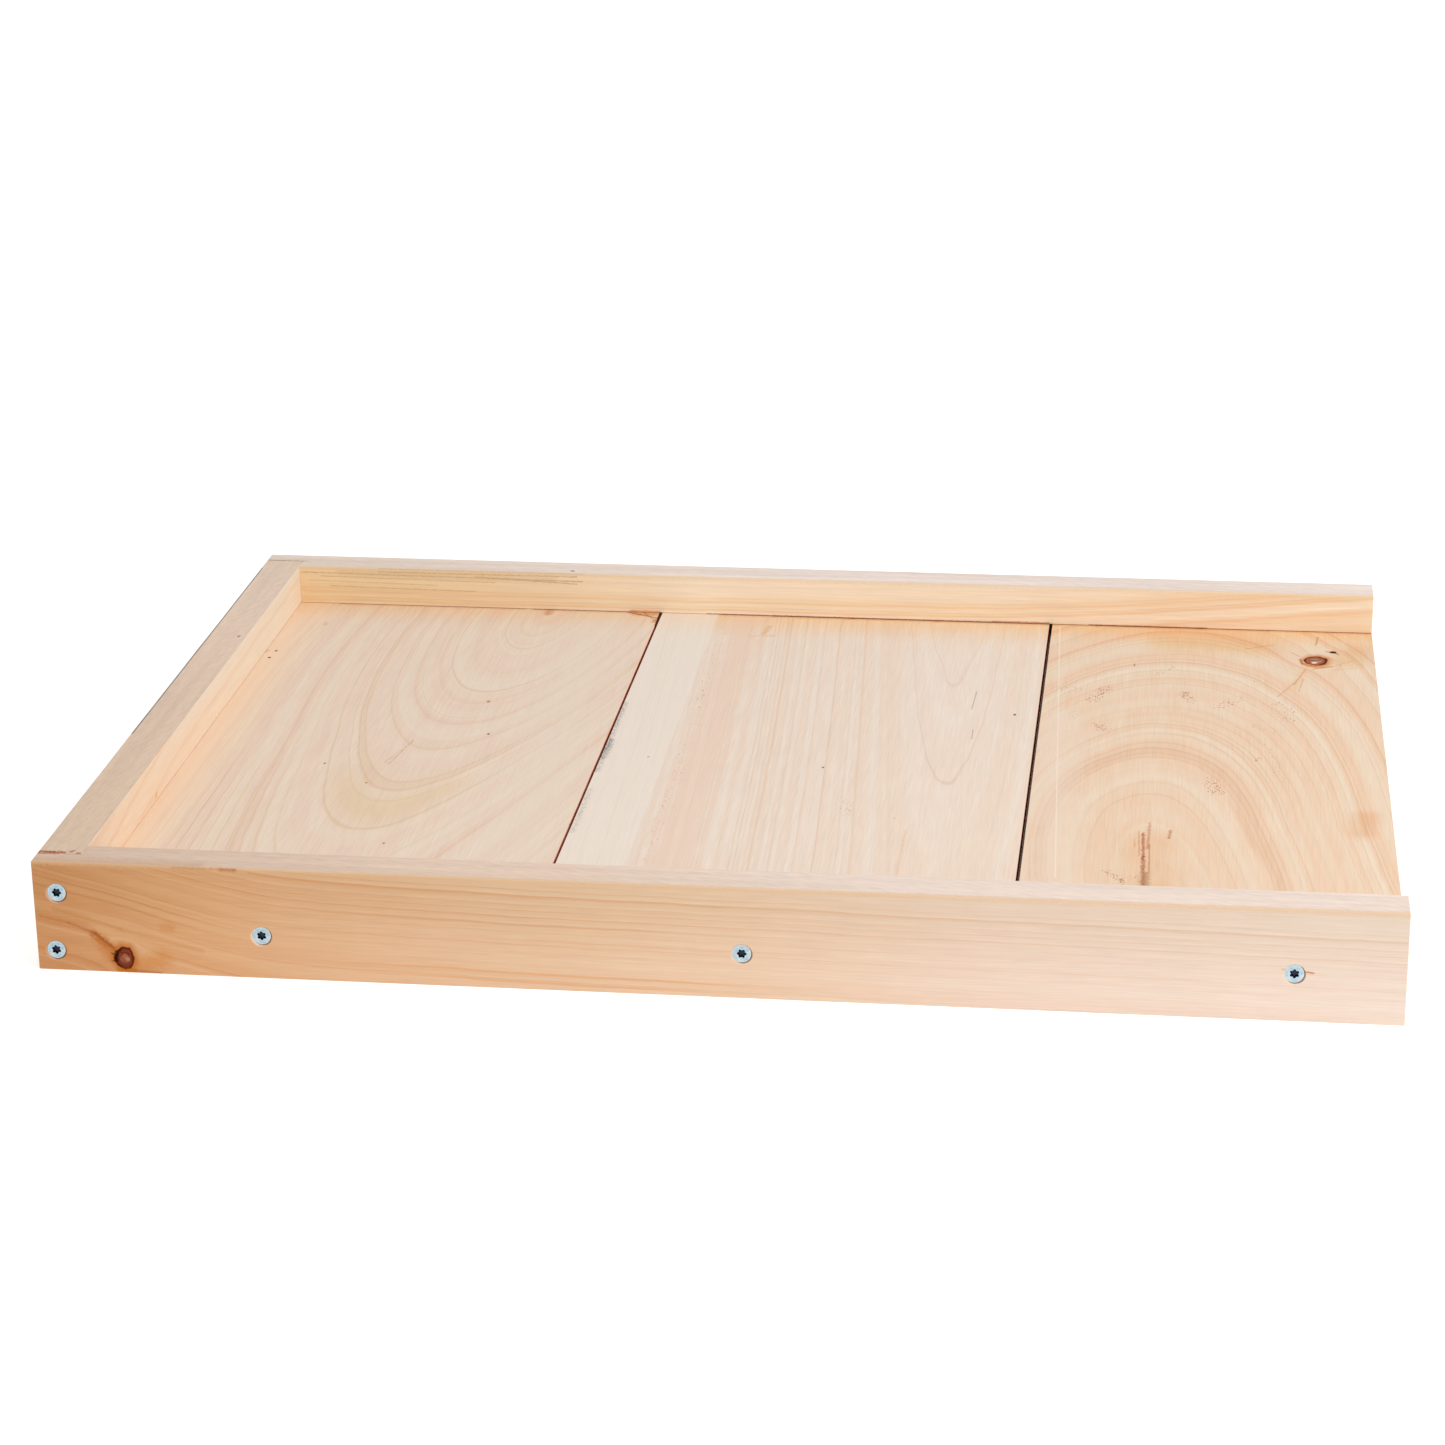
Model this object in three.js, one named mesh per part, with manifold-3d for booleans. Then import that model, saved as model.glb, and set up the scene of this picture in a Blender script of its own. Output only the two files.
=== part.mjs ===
// Solid bottom board of a ten-frame bee hive: the wooden tray that the hive stands on.
// Two side rails and a rear rail hold a floor of three boards in grooves. The rear rail's ends
// are let into rabbets in the side rails, and screws driven from outside hold it all together.
// The front is open, which makes the bees' entrance. Turned over, the board gives a lower one.
// Millimetres. +X points out of the entrance, +Y to the left rail and +Z up. The origin lies
// under the middle of the board.

import * as THREE from 'three';
import { mergeVertices } from 'three/addons/utils/BufferGeometryUtils.js';
import Module from 'manifold-3d';

// The whole board: 22 in long and 16 1/4 in wide, the footprint of the hive with an alighting strip
const boardLength = 558.8;
const boardWidth = 412.75;

// Rails, planed from nominal one-inch stock
const railThickness = 19.05;
const upperLip = 19;
const lowerLip = 9.8;
const grooveDepth = 9.5;
const rabbetDepth = 9.5;

// Floor boards. A face width leaves out the tongue. The front board takes what is left over.
const floorThickness = 19;
const rearFaceWidth = 195.45;
const middleFaceWidth = 194.35;
const tongueThickness = 6.4;
const tongueLength = 6;
const tongueChamfer = 0.8;

// The two floor joints stand open, and are a little out of square with the rails
const firstJointGap = 1;
const secondJointGap = 1.4;
const firstJointSkew = 2;
const secondJointSkew = 0.7;

// Screws: countersunk heads with a six-pointed star drive
const screwLength = 40;
const headRadius = 4;
const headRim = 0.4;
const headSink = 0.2;
const shankRadius = 1.6;
const pointLength = 6;
const starPointRadius = 1.95;
const starRootRadius = 1.4;
const starDepth = 1.8;

// Where the screws were driven. Insets run along the rail: the corner screws and the rear board's
// are measured from the rear end, the middle board's from the first joint and the front board's
// from the front end. Drop and rise are from the rail's top and bottom. Lifts are from the middle
// of the floor's thickness.
const upperCornerInset = 9.9;
const upperCornerDrop = 13.6;
const lowerCornerInset = 7.9;
const lowerCornerRise = 8.9;
const rearBoardInset = 95.5;
const rearBoardLift = -0.6;
const middleBoardInset = 88.2;
const middleBoardLift = 0.1;
const frontBoardInset = 44.1;
const frontBoardLift = 1.1;

// Clearances: at seated ends, on sliding faces, and around a screw
const seatGap = 0.3;
const slidingGap = 0.2;
const screwGap = 0.3;

// How far a cutter runs past the face it cuts
const overrun = 5;

// Counts of facets
const screwFacets = 24;
const starPoints = 6;
const starFacets = 36;

// Places that follow from the sizes
const rearEnd = -boardLength / 2;
const frontEnd = boardLength / 2;
const outerFace = boardWidth / 2;
const innerFace = outerFace - railThickness;
const rearRailFace = rearEnd + railThickness;
const floorBottom = lowerLip + slidingGap;
const floorMiddle = floorBottom + floorThickness / 2;
const floorTop = floorBottom + floorThickness;
const grooveTop = floorTop + slidingGap;
const railHeight = grooveTop + upperLip;
const floorRear = rearRailFace - grooveDepth + seatGap;
const firstJoint = floorRear + rearFaceWidth + firstJointGap / 2;
const secondJoint = firstJoint + firstJointGap / 2 + middleFaceWidth + secondJointGap / 2;

// Finishes
const wood = (color, roughness) => new THREE.MeshStandardMaterial({
  color, roughness, metalness: 0, flatShading: true,
});
const finishes = {
  sideRail: wood('#eec79e', 0.62),
  rearRail: wood('#e9cdae', 0.64),
  rearBoard: wood('#efd3b3', 0.6),
  middleBoard: wood('#f1d8be', 0.58),
  frontBoard: wood('#edcaa9', 0.62),
  zinc: new THREE.MeshStandardMaterial({
    color: '#c5ced8', roughness: 0.38, metalness: 0.9, flatShading: true,
  }),
};

// Cutting one closed shape with others

const wasm = await Module();
wasm.setup();

function solidFrom(geometry) {
  const bare = geometry.clone();
  bare.deleteAttribute('normal');
  bare.deleteAttribute('uv');
  const merged = mergeVertices(bare);
  const corners = merged.index.array;
  const triangles = [];
  for (let i = 0; i < corners.length; i += 3) {
    const [a, b, c] = corners.slice(i, i + 3);
    if (a !== b && b !== c && c !== a) triangles.push(a, b, c);
  }
  return new wasm.Manifold(new wasm.Mesh({
    numProp: 3,
    vertProperties: new Float32Array(merged.attributes.position.array),
    triVerts: new Uint32Array(triangles),
  }));
}

function geometryFrom(solid) {
  const mesh = solid.getMesh();
  const geometry = new THREE.BufferGeometry();
  geometry.setAttribute('position', new THREE.BufferAttribute(mesh.vertProperties, 3));
  geometry.setIndex(new THREE.BufferAttribute(mesh.triVerts, 1));
  geometry.computeVertexNormals();
  return geometry;
}

function cut(geometry, cutters) {
  let solid = solidFrom(geometry);
  for (const cutter of cutters) solid = solid.subtract(solidFrom(cutter));
  return geometryFrom(solid);
}

// Straight stock, from the outline of its section

function stock(outline, length) {
  const shape = new THREE.Shape(outline.map(([u, v]) => new THREE.Vector2(u, v)));
  return new THREE.ExtrudeGeometry(shape, { depth: length, bevelEnabled: false });
}

// A section drawn in Y and Z, run along X from a start
function stockAlongX(outline, start, length) {
  const turn = new THREE.Matrix4().makeBasis(
    new THREE.Vector3(0, 1, 0),
    new THREE.Vector3(0, 0, 1),
    new THREE.Vector3(1, 0, 0),
  );
  return stock(outline, length).applyMatrix4(turn).translate(start, 0, 0);
}

// A section drawn in X and Z, run along Y with its middle at the middle of the board
function stockAcross(outline, length) {
  return stock(outline, length).rotateX(Math.PI / 2).translate(0, length / 2, 0);
}

// A block between two opposite corners
function block(corner, opposite) {
  const size = opposite.map((value, i) => Math.abs(value - corner[i]));
  const middle = opposite.map((value, i) => (value + corner[i]) / 2);
  return new THREE.BoxGeometry(...size).translate(...middle);
}

// A rail's section, from its outer face to its grooved inner face
function railSection(outer, inner) {
  const grooveBack = inner + Math.sign(outer - inner) * grooveDepth;
  return [
    [outer, 0],
    [inner, 0],
    [inner, lowerLip],
    [grooveBack, lowerLip],
    [grooveBack, grooveTop],
    [inner, grooveTop],
    [inner, railHeight],
    [outer, railHeight],
  ];
}

// Screws

// The drive: a star-shaped socket that opens at the head's face
function starSocket() {
  const middle = (starPointRadius + starRootRadius) / 2;
  const swing = (starPointRadius - starRootRadius) / 2;
  const outline = [];
  for (let i = 0; i < starFacets; i += 1) {
    const angle = (i / starFacets) * 2 * Math.PI;
    const radius = middle + swing * Math.cos(starPoints * angle);
    outline.push([radius * Math.cos(angle), radius * Math.sin(angle)]);
  }
  const socket = stock(outline, starDepth + overrun);
  return socket.rotateX(-Math.PI / 2).translate(0, headSink - overrun, 0);
}

// The turned form about the Y axis, which runs into the wood from the rail's outer face. Grown by
// a gap and opened past the face, the same form bores the screw's hole.
function turnedScrew(gap, faceAt) {
  const coneStart = headSink + headRim;
  const coneEnd = coneStart + headRadius - shankRadius;
  const tip = headSink + screwLength;
  const profile = [
    [0, faceAt],
    [headRadius + gap, faceAt],
    [headRadius + gap, coneStart],
    [shankRadius + gap, coneEnd],
    [shankRadius + gap, tip - pointLength],
    [0, tip + gap],
  ];
  const points = profile.map(([radius, depth]) => new THREE.Vector2(radius, depth));
  return new THREE.LatheGeometry(points, screwFacets);
}

const screwForm = cut(turnedScrew(0, headSink), [starSocket()]);
const screwBore = turnedScrew(screwGap, -overrun);

// Along the rail, and up it
const screwPlaces = {
  corner_upper: [rearEnd + upperCornerInset, railHeight - upperCornerDrop],
  corner_lower: [rearEnd + lowerCornerInset, lowerCornerRise],
  floor_rear: [rearEnd + rearBoardInset, floorMiddle + rearBoardLift],
  floor_middle: [firstJoint + middleBoardInset, floorMiddle + middleBoardLift],
  floor_front: [frontEnd - frontBoardInset, floorMiddle + frontBoardLift],
};

// The left rail is at +Y, so its screws turn half round to point inwards
const sides = { left: 1, right: -1 };

function placeScrew(item, side, [x, z]) {
  item.rotation.z = side > 0 ? Math.PI : 0;
  item.position.set(x, side * outerFace, z);
  item.updateMatrix();
  return item;
}

const bores = Object.values(sides).flatMap((side) => Object.values(screwPlaces).map((place) => {
  const holder = placeScrew(new THREE.Object3D(), side, place);
  return screwBore.clone().applyMatrix4(holder.matrix);
}));

// Wooden pieces

function sideRail(side) {
  const rail = stockAlongX(railSection(side * outerFace, side * innerFace), rearEnd, boardLength);
  const rabbet = block(
    [rearEnd - overrun, side * (innerFace - overrun), -overrun],
    [rearRailFace + seatGap, side * (innerFace + rabbetDepth), railHeight + overrun],
  );
  return cut(rail, [rabbet, ...bores]);
}

function rearRail() {
  const length = 2 * (innerFace + rabbetDepth - seatGap);
  return cut(stockAcross(railSection(rearEnd, rearRailFace), length), bores);
}

// A floor board's section, with a groove in its rear edge and a tongue on its front edge
function boardSection(rear, front, grooved, tongued) {
  const half = tongueThickness / 2;
  const mouth = half + slidingGap;
  const shoulder = tongueLength - tongueChamfer;
  const tongue = [
    [front, floorMiddle - half],
    [front + shoulder, floorMiddle - half],
    [front + tongueLength, floorMiddle - half + tongueChamfer],
    [front + tongueLength, floorMiddle + half - tongueChamfer],
    [front + shoulder, floorMiddle + half],
    [front, floorMiddle + half],
  ];
  const groove = [
    [rear, floorMiddle + mouth],
    [rear + tongueLength, floorMiddle + mouth],
    [rear + tongueLength, floorMiddle - mouth],
    [rear, floorMiddle - mouth],
  ];
  return [
    [rear, floorBottom],
    [front, floorBottom],
    ...(tongued ? tongue : []),
    [front, floorTop],
    [rear, floorTop],
    ...(grooved ? groove : []),
  ];
}

// Cuts both edges of a board out of square: each moves forward at the right rail by half its skew
// and back by as much at the left rail
function skewEdges(geometry, middle, rearSkew, frontSkew) {
  const place = geometry.attributes.position;
  for (let i = 0; i < place.count; i += 1) {
    const skew = place.getX(i) < middle ? rearSkew : frontSkew;
    place.setX(i, place.getX(i) - (skew * place.getY(i)) / boardWidth);
  }
  return geometry;
}

function floorBoard({ rear, front, grooved, tongued, rearSkew, frontSkew }) {
  const length = 2 * (innerFace + grooveDepth - seatGap);
  const board = stockAcross(boardSection(rear, front, grooved, tongued), length);
  return cut(skewEdges(board, (rear + front) / 2, rearSkew, frontSkew), bores);
}

const floorBoards = {
  rear: {
    rear: floorRear,
    front: firstJoint - firstJointGap / 2,
    grooved: false,
    tongued: true,
    rearSkew: 0,
    frontSkew: firstJointSkew,
    finish: finishes.rearBoard,
  },
  middle: {
    rear: firstJoint + firstJointGap / 2,
    front: secondJoint - secondJointGap / 2,
    grooved: true,
    tongued: true,
    rearSkew: firstJointSkew,
    frontSkew: secondJointSkew,
    finish: finishes.middleBoard,
  },
  front: {
    rear: secondJoint + secondJointGap / 2,
    front: frontEnd,
    grooved: true,
    tongued: false,
    rearSkew: secondJointSkew,
    frontSkew: 0,
    finish: finishes.frontBoard,
  },
};

// The assembly

const bottomBoard = new THREE.Group();

function add(name, geometry, finish) {
  const mesh = new THREE.Mesh(geometry, finish);
  mesh.name = name;
  bottomBoard.add(mesh);
  return mesh;
}

for (const [name, side] of Object.entries(sides)) {
  add(`side_rail_${name}`, sideRail(side), finishes.sideRail);
}
add('rear_rail', rearRail(), finishes.rearRail);
for (const [name, board] of Object.entries(floorBoards)) {
  add(`floor_board_${name}`, floorBoard(board), board.finish);
}
for (const [sideName, side] of Object.entries(sides)) {
  for (const [placeName, place] of Object.entries(screwPlaces)) {
    placeScrew(add(`screw_${sideName}_${placeName}`, screwForm, finishes.zinc), side, place);
  }
}

export default bottomBoard;
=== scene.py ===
# %% [markdown]
# Solid bottom board of a bee hive
#
# The object is a tray of bare softwood. Two side rails and a rear rail hold a floor of three
# boards, and ten zinc-plated screws hold the rails. Nothing on it is soft or turns, so all of its
# looks come from two things: what the growth of a tree drew in the wood, and what a planer, a
# saw and a pair of hands did to the surface afterwards.
#
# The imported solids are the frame. They have the real sizes, with grooves, rabbets and bores, but
# their arrises are knife sharp. This lesson puts a bench-made piece in the place of each.

# %% The frame, and how long a millimetre is
import math
import random
from collections import namedtuple
from functools import partial

import bmesh
import bpy
from mathutils import Matrix, Vector, noise


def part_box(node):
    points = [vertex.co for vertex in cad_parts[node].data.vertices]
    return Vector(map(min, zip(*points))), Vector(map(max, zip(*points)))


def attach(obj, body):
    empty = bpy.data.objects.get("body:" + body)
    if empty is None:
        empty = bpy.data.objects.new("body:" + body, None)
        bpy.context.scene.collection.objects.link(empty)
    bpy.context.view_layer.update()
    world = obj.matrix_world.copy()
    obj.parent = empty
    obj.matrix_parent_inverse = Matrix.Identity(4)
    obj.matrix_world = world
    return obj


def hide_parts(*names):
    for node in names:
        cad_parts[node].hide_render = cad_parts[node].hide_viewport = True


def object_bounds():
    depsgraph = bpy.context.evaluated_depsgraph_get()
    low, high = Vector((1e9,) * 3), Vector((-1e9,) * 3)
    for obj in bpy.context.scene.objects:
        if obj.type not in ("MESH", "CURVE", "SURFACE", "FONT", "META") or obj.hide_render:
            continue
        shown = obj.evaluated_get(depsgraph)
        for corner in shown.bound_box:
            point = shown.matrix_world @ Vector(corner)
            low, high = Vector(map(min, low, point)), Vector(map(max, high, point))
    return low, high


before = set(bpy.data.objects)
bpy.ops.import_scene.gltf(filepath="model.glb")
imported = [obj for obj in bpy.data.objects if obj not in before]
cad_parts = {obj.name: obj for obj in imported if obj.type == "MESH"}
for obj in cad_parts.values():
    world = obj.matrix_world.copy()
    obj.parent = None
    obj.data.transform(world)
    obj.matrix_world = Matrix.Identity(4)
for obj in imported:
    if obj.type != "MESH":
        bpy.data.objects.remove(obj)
cad_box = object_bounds()

mm = 0.001
rear_end, right_face, underside = (value / mm for value in cad_box[0])
front_end, left_face, top_face = (value / mm for value in cad_box[1])
board_length = front_end - rear_end
board_width = left_face - right_face
rail_height = top_face - underside
print(f"board {board_length:.1f} x {board_width:.1f} x {rail_height:.1f} mm, "
      f"{len(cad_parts)} solids in the frame")

# %% [markdown]
# Colours
#
# A colour as written is an sRGB value, but light is added up in linear values. One function
# turns the one into the other, so that every finish below can be written as it looks.

# %% From a written colour to a linear one
def linear(hex_colour):
    """The linear red, green, blue and alpha of an sRGB hex colour."""
    channels = [int(hex_colour[i:i + 2], 16) / 255 for i in (1, 3, 5)]
    return [c / 12.92 if c <= 0.04045 else ((c + 0.055) / 1.055) ** 2.4 for c in channels] + [1]


print("planed pine is about", [round(c, 3) for c in linear("#ecd0b4")[:3]], "in linear light")

# %% [markdown]
# The camera
#
# The board was photographed with a long lens from above its right-hand rail. The place and the
# angles were worked out from the corners of the board, whose real sizes are known.

# %% A camera at the photographer's place
camera_lens = 91.832
camera_angles = (69.5503, 0.7273, 7.2894)
camera_place = (187.327, -1556.676, 626.940)


def placed(name, data):
    """A new object with that data, in the scene."""
    made = bpy.data.objects.new(name, data)
    bpy.context.scene.collection.objects.link(made)
    return made


camera_data = bpy.data.cameras.new("photographer")
camera_data.lens = camera_lens
camera_data.sensor_width = 36
camera_data.clip_start = 0.05
camera_data.clip_end = 50
camera = placed("photographer", camera_data)
camera.rotation_euler = [math.radians(angle) for angle in camera_angles]
camera.location = Vector(camera_place) * mm
bpy.context.scene.camera = camera
print(f"lens {camera_lens} mm, {camera.location.length:.2f} m from the board")

# %% [markdown]
# One small function for nodes
#
# A finish is a net of nodes. Each line below adds one node, sets what it says, and links what it
# is fed. The function gives back an output, so that the next line can use it. A colour mix has its
# factor, its two colours and its result at numbers of their own, and soft ranges ease in and out.

# %% Adding a node with its settings and links
COLOUR_PLACES = (0, 6, 7)
PAINT = {"output": 2, "data_type": "RGBA"}
SOFT = {"interpolation_type": "SMOOTHSTEP", "clamp": False}


def add_node(tree, kind, *feeds, output=0, **settings):
    """Adds a node. A word after its kind is its operation. Feeds are values or other nodes' outputs,
    in the order of the inputs, or in a dictionary by input name or number. Gives back one output,
    or several if output is a tuple of names."""
    kind, *operation = kind.split()
    made = tree.nodes.new("ShaderNode" + kind)
    for word in operation:
        made.operation = word
    for name, value in settings.items():
        setattr(made, name, value)
    places = COLOUR_PLACES if kind == "Mix" else range(len(feeds))
    named = feeds[0] if feeds and isinstance(feeds[0], dict) else dict(zip(places, feeds))
    for name, value in named.items():
        if isinstance(value, bpy.types.NodeSocket):
            tree.links.new(value, made.inputs[name])
        else:
            made.inputs[name].default_value = value
    if isinstance(output, tuple):
        return [made.outputs[name] for name in output]
    return made.outputs[output]


def blank(name, owner):
    """A material or world of that name, and the function that adds nodes to its empty net."""
    made = owner.new(name)
    made.use_nodes = True
    made.node_tree.nodes.clear()
    return made, partial(add_node, made.node_tree)


# %% [markdown]
# Light
#
# The photograph has the light of a white room: soft from everywhere, stronger from a big window at
# the right. A plain white world gives the first, and one large lamp gives the second. Together they
# light a white card lying flat to just about white, so a colour renders as it is written.
#
# The picture's ground is white because camera rays see the world at full strength. All other rays
# see its plain level, so the white ground adds no light to the wood.

# %% The room
room_level = 0.66
window_power = 16.5
window_size = (1.5, 1.1)
window_place = Vector((1.25, -0.75, 0.95))


def looked_at(add):
    """1 for what the camera sees, itself or in metal and glass, and 0 for the light on things."""
    rays = add("LightPath", output=("Is Camera Ray", "Is Glossy Ray", "Is Transmission Ray"))
    direct = add("Math ADD", rays[0], rays[1])
    return add("Math ADD", direct, rays[2], use_clamp=True)


room, add = blank("white_room", bpy.data.worlds)
lit = add("Background", {"Color": linear("#fffdfa"), "Strength": room_level})
backdrop = add("Background", {"Color": linear("#ffffff"), "Strength": 1.0})
either = add("MixShader", looked_at(add), lit, backdrop)
add("OutputWorld", {"Surface": either}, output=())
bpy.context.scene.world = room

window_data = bpy.data.lights.new("window", "AREA")
window_data.shape = "RECTANGLE"
window_data.size, window_data.size_y = window_size
window_data.energy = window_power
window_data.color = linear("#fffaf2")[:3]
window = placed("window", window_data)
window.location = window_place
window.rotation_euler = (-window_place).to_track_quat("-Z", "Y").to_euler()

bpy.context.scene.view_settings.view_transform = "Standard"
print(f"room at {room_level}, window {window_size[0]} m wide at {window_place.length:.2f} m")

# %% [markdown]
# The ground
#
# The board stands on a sheet of white paper. Real paper sends back nine tenths of the light, which
# would leave it a little grey beside a white world, so it also glows where the camera sees it. The
# board's shadow is still there, because the light that falls on the paper makes up the rest.

# %% A sheet of white paper
paper_half = 12.0
paper_drop = 0.02 * mm
paper_glow = 0.5

paper, add = blank("white_paper_matt", bpy.data.materials)
spot = add("TexCoord", output="Object")
fibres = add("TexNoise", {"Vector": spot, "Scale": 900.0, "Detail": 3.0})
white = add("Mix", fibres, linear("#f2f2f1"), linear("#f8f8f7"), **PAINT)
glow = add("Math MULTIPLY", looked_at(add), paper_glow)
sheet = add("BsdfPrincipled", {
    "Base Color": white, "Roughness": 0.9,
    "Emission Color": linear("#ffffff"), "Emission Strength": glow,
})
add("OutputMaterial", {"Surface": sheet}, output=())

ground_mesh = bpy.data.meshes.new("paper_ground")
corners = [(x * paper_half, y * paper_half, 0) for x, y in ((-1, -1), (1, -1), (1, 1), (-1, 1))]
ground_mesh.from_pydata(corners, [], [(0, 1, 2, 3)])
ground_mesh.materials.append(paper)
ground_sheet = placed("paper_ground", ground_mesh)
ground_sheet.location.z = underside * mm - paper_drop
print(f"paper {2 * paper_half:.0f} m square, {paper_drop / mm:.2f} mm under the board")

# %% [markdown]
# What pine is, and where its figure comes from
#
# A tree adds a cone of pale, soft earlywood each spring and closes it with a thin, dense, darker
# line of latewood. So a growth ring is all the wood at one distance from the pith, and the pith is
# a line that wanders through the trunk, or just beside the board. A saw cut shows where the cones
# meet a flat face: long lines where the cut runs along the pith, arches where it slants
# across it, and arcs on the sawn end.
#
# A picture of grain on each face would not agree at the arrises, and a wave texture draws the same
# ring over and over. Here the figure is solid, as in the tree. The pith is a line in space, and
# every point of the board asks how far it is from that line. Faces, edges and end grain then belong
# together, and each board needs only its own pith line.
#
# Everything is measured on the bench in millimetres: x from the rear end, y from the right rail's
# outer face, z from the underside.

# %% Bench coordinates and the pith line
AXES = {"X": (1, 0, 0), "Y": (0, 1, 0), "Z": (0, 0, 1)}
bench_corner = (-rear_end, -right_face, -underside)

# A pith runs along a board. At its bend it lies at a place across the board and at a height. From
# there it slopes, and the turn is added to the slope after the bend and taken off before it.
Pith = namedtuple("Pith", "bend_at ease across depth")


def bench_place(add):
    """The point on the bench as a vector, in mm."""
    place = add("TexCoord", output="Object")
    scale = (1 / mm,) * 3
    return add("VectorMath MULTIPLY_ADD", place, scale, bench_corner)


def shaking(add, point, scale, detail=3.0):
    """A noise vector round zero, with that many waves to a mm."""
    waves = add("TexNoise", {"Vector": point, "Scale": scale, "Detail": detail}, output="Color")
    return add("VectorMath SUBTRACT", waves, (0.5,) * 3)


def pith_beside(add, along, pith):
    """Where the pith passes at this station: its place across the board and its height."""
    past = add("Math SUBTRACT", along, pith.bend_at)
    square = add("Math MULTIPLY_ADD", past, past, pith.ease ** 2)
    reach = add("Math SQRT", square)
    turned = add("Math SUBTRACT", reach, pith.ease)
    line = []
    for at, slope, turn in (pith.across, pith.depth):
        sloped = add("Math MULTIPLY_ADD", past, slope, at)
        line.append(add("Math MULTIPLY_ADD", turned, turn, sloped))
    return line


# %% [markdown]
# Rings of uneven width
#
# No two summers are alike, so ring widths wander, and some latewood lines are strong while others
# can hardly be seen. A slow noise along the radius makes the widths uneven, and the ring's number
# is fed to a white noise, which gives each ring one strength of its own all the way round.
#
# Seen close, a ring has three tones: a pale line where spring growth starts, a body that is a
# little pink in one year and creamy in the next, and an orange crest of latewood at its end.

# %% Counting the rings
# Width is the mean ring in mm and uneven the share of it that widths wander by. Wander is how far
# in mm a ring strays from a true circle. Faintest is the least strength of a latewood crest, swell
# how much the ring darkens before the crest, and pale the strength of the line that starts it.
# Calm is two distances from the pith and the share of the figure that is left at the nearer one.
Rings = namedtuple("Rings", "width uneven wander faintest swell pale seed calm", defaults=(None,))
ring_wave = 38
crest_from, crest_full = 0.62, 0.9


def radius_from_pith(add, point, along, across, depth, pith, rings):
    """Distance from the pith in mm, with the rings' slow waviness."""
    pith_across, pith_depth = pith_beside(add, along, pith)
    aside = add("Math SUBTRACT", across, pith_across)
    below = add("Math SUBTRACT", depth, pith_depth)
    arm = add("CombineXYZ", aside, below)
    waves = shaking(add, point, 1 / ring_wave, 2.5)
    sway = add("VectorMath SCALE", {0: waves, "Scale": 2 * rings.wander})
    swayed = add("VectorMath ADD", arm, sway)
    flat = add("VectorMath MULTIPLY", swayed, (1, 1, 0))
    return add("VectorMath LENGTH", flat, output="Value")


# %% Three tones of a ring
def ring_tones(add, radius, rings):
    """The three tones at a point, each from 0 to 1: latewood, the pale line, and the blush."""
    counted = add("Math DIVIDE", radius, rings.width)
    drift = add("TexNoise", {"W": counted, "Scale": 0.31, "Detail": 2.0}, noise_dimensions="1D")
    uneven = add("Math MULTIPLY_ADD", drift, 6 * rings.uneven, counted)
    number = add("Math FLOOR", uneven)
    share = add("Math SUBTRACT", uneven, number)
    seeded = add("Math ADD", number, rings.seed)
    chance = add("TexWhiteNoise", {"W": seeded}, noise_dimensions="1D")
    rare = add("Math POWER", chance, 2.2)
    strength = add("MapRange", rare, 0.0, 1.0, rings.faintest, 1.0)
    if rings.calm:
        near, far, least = rings.calm
        grown = add("MapRange", radius, near, far, least, 1.0)
        strength = add("Math MULTIPLY", strength, grown)

    # The ring darkens slowly, ends in a crest, and drops back to pale within a tenth of its width
    slow = add("MapRange", share, 0.15, crest_full, 0.0, rings.swell)
    crest = add("MapRange", share, crest_from, crest_full, 0.0, 1.0 - rings.swell, **SOFT)
    both = add("Math ADD", slow, crest)
    drop = add("MapRange", share, crest_full, 1.0, 1.0, 0.0, **SOFT)
    both = add("Math MULTIPLY", both, drop)
    late = add("Math MULTIPLY", both, strength)
    start = add("MapRange", share, 0.06, 0.3, rings.pale, 0.0, **SOFT)
    pale = add("Math MULTIPLY", start, strength)
    years = add("TexNoise", {"W": uneven, "Scale": 0.6, "Detail": 2.0}, noise_dimensions="1D")
    blush = add("MapRange", years, 0.34, 0.66)
    return late, pale, blush


# %% [markdown]
# Fibres
#
# Softwood fibres are about 3 mm long and a thirtieth of a millimetre thick, too fine for any
# picture. What the eye sees is their bundles, as streaks some tenths of a millimetre wide and some
# centimetres long. A noise stretched along the board draws them, and because it is solid too, it
# turns into fine dots on the end grain.

# %% Streaks of fibre bundles
bundle_size = (0.5, 16.0)
thread_size = (0.9, 30.0)
band_size = (6.0, 170.0)
cloud_size = (11.0, 26.0)
speck_size = (0.65, 1.6)
# The sum of two noises lies between these nearly everywhere
two_noises = (0.7, 1.3)


def streaks(add, point, axis, size, detail):
    """Noise from 0 to 1 in streaks of that width and length in mm, running along an axis."""
    width, length = size
    scales = [1 / length if part else 1 / width for part in AXES[axis]]
    stretched = add("VectorMath MULTIPLY", point, scales)
    return add("TexNoise", {"Vector": stretched, "Scale": 1.0, "Detail": detail})


# %% [markdown]
# What lies on the figure
#
# Bare wood carries small things that make it this board and no other: specks of resin, cracks, a
# score from handling, fibres torn by the planer, stains, and knots. They are painted over the
# figure in order, as a restorer would, from a short list of strokes.
#
# A stroke is a line in space with a radius, and it colours the wood near it. Noise pushes its
# outline about, so no stroke looks ruled. It can be broken up along the fibres, and it can lie
# over the figure or tint it so that the figure shows through.
#
# Torn grain is not one stroke but hundreds of specks. A patch only says how thick they lie, and one
# noise, stretched along the fibres, decides where each is.

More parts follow.
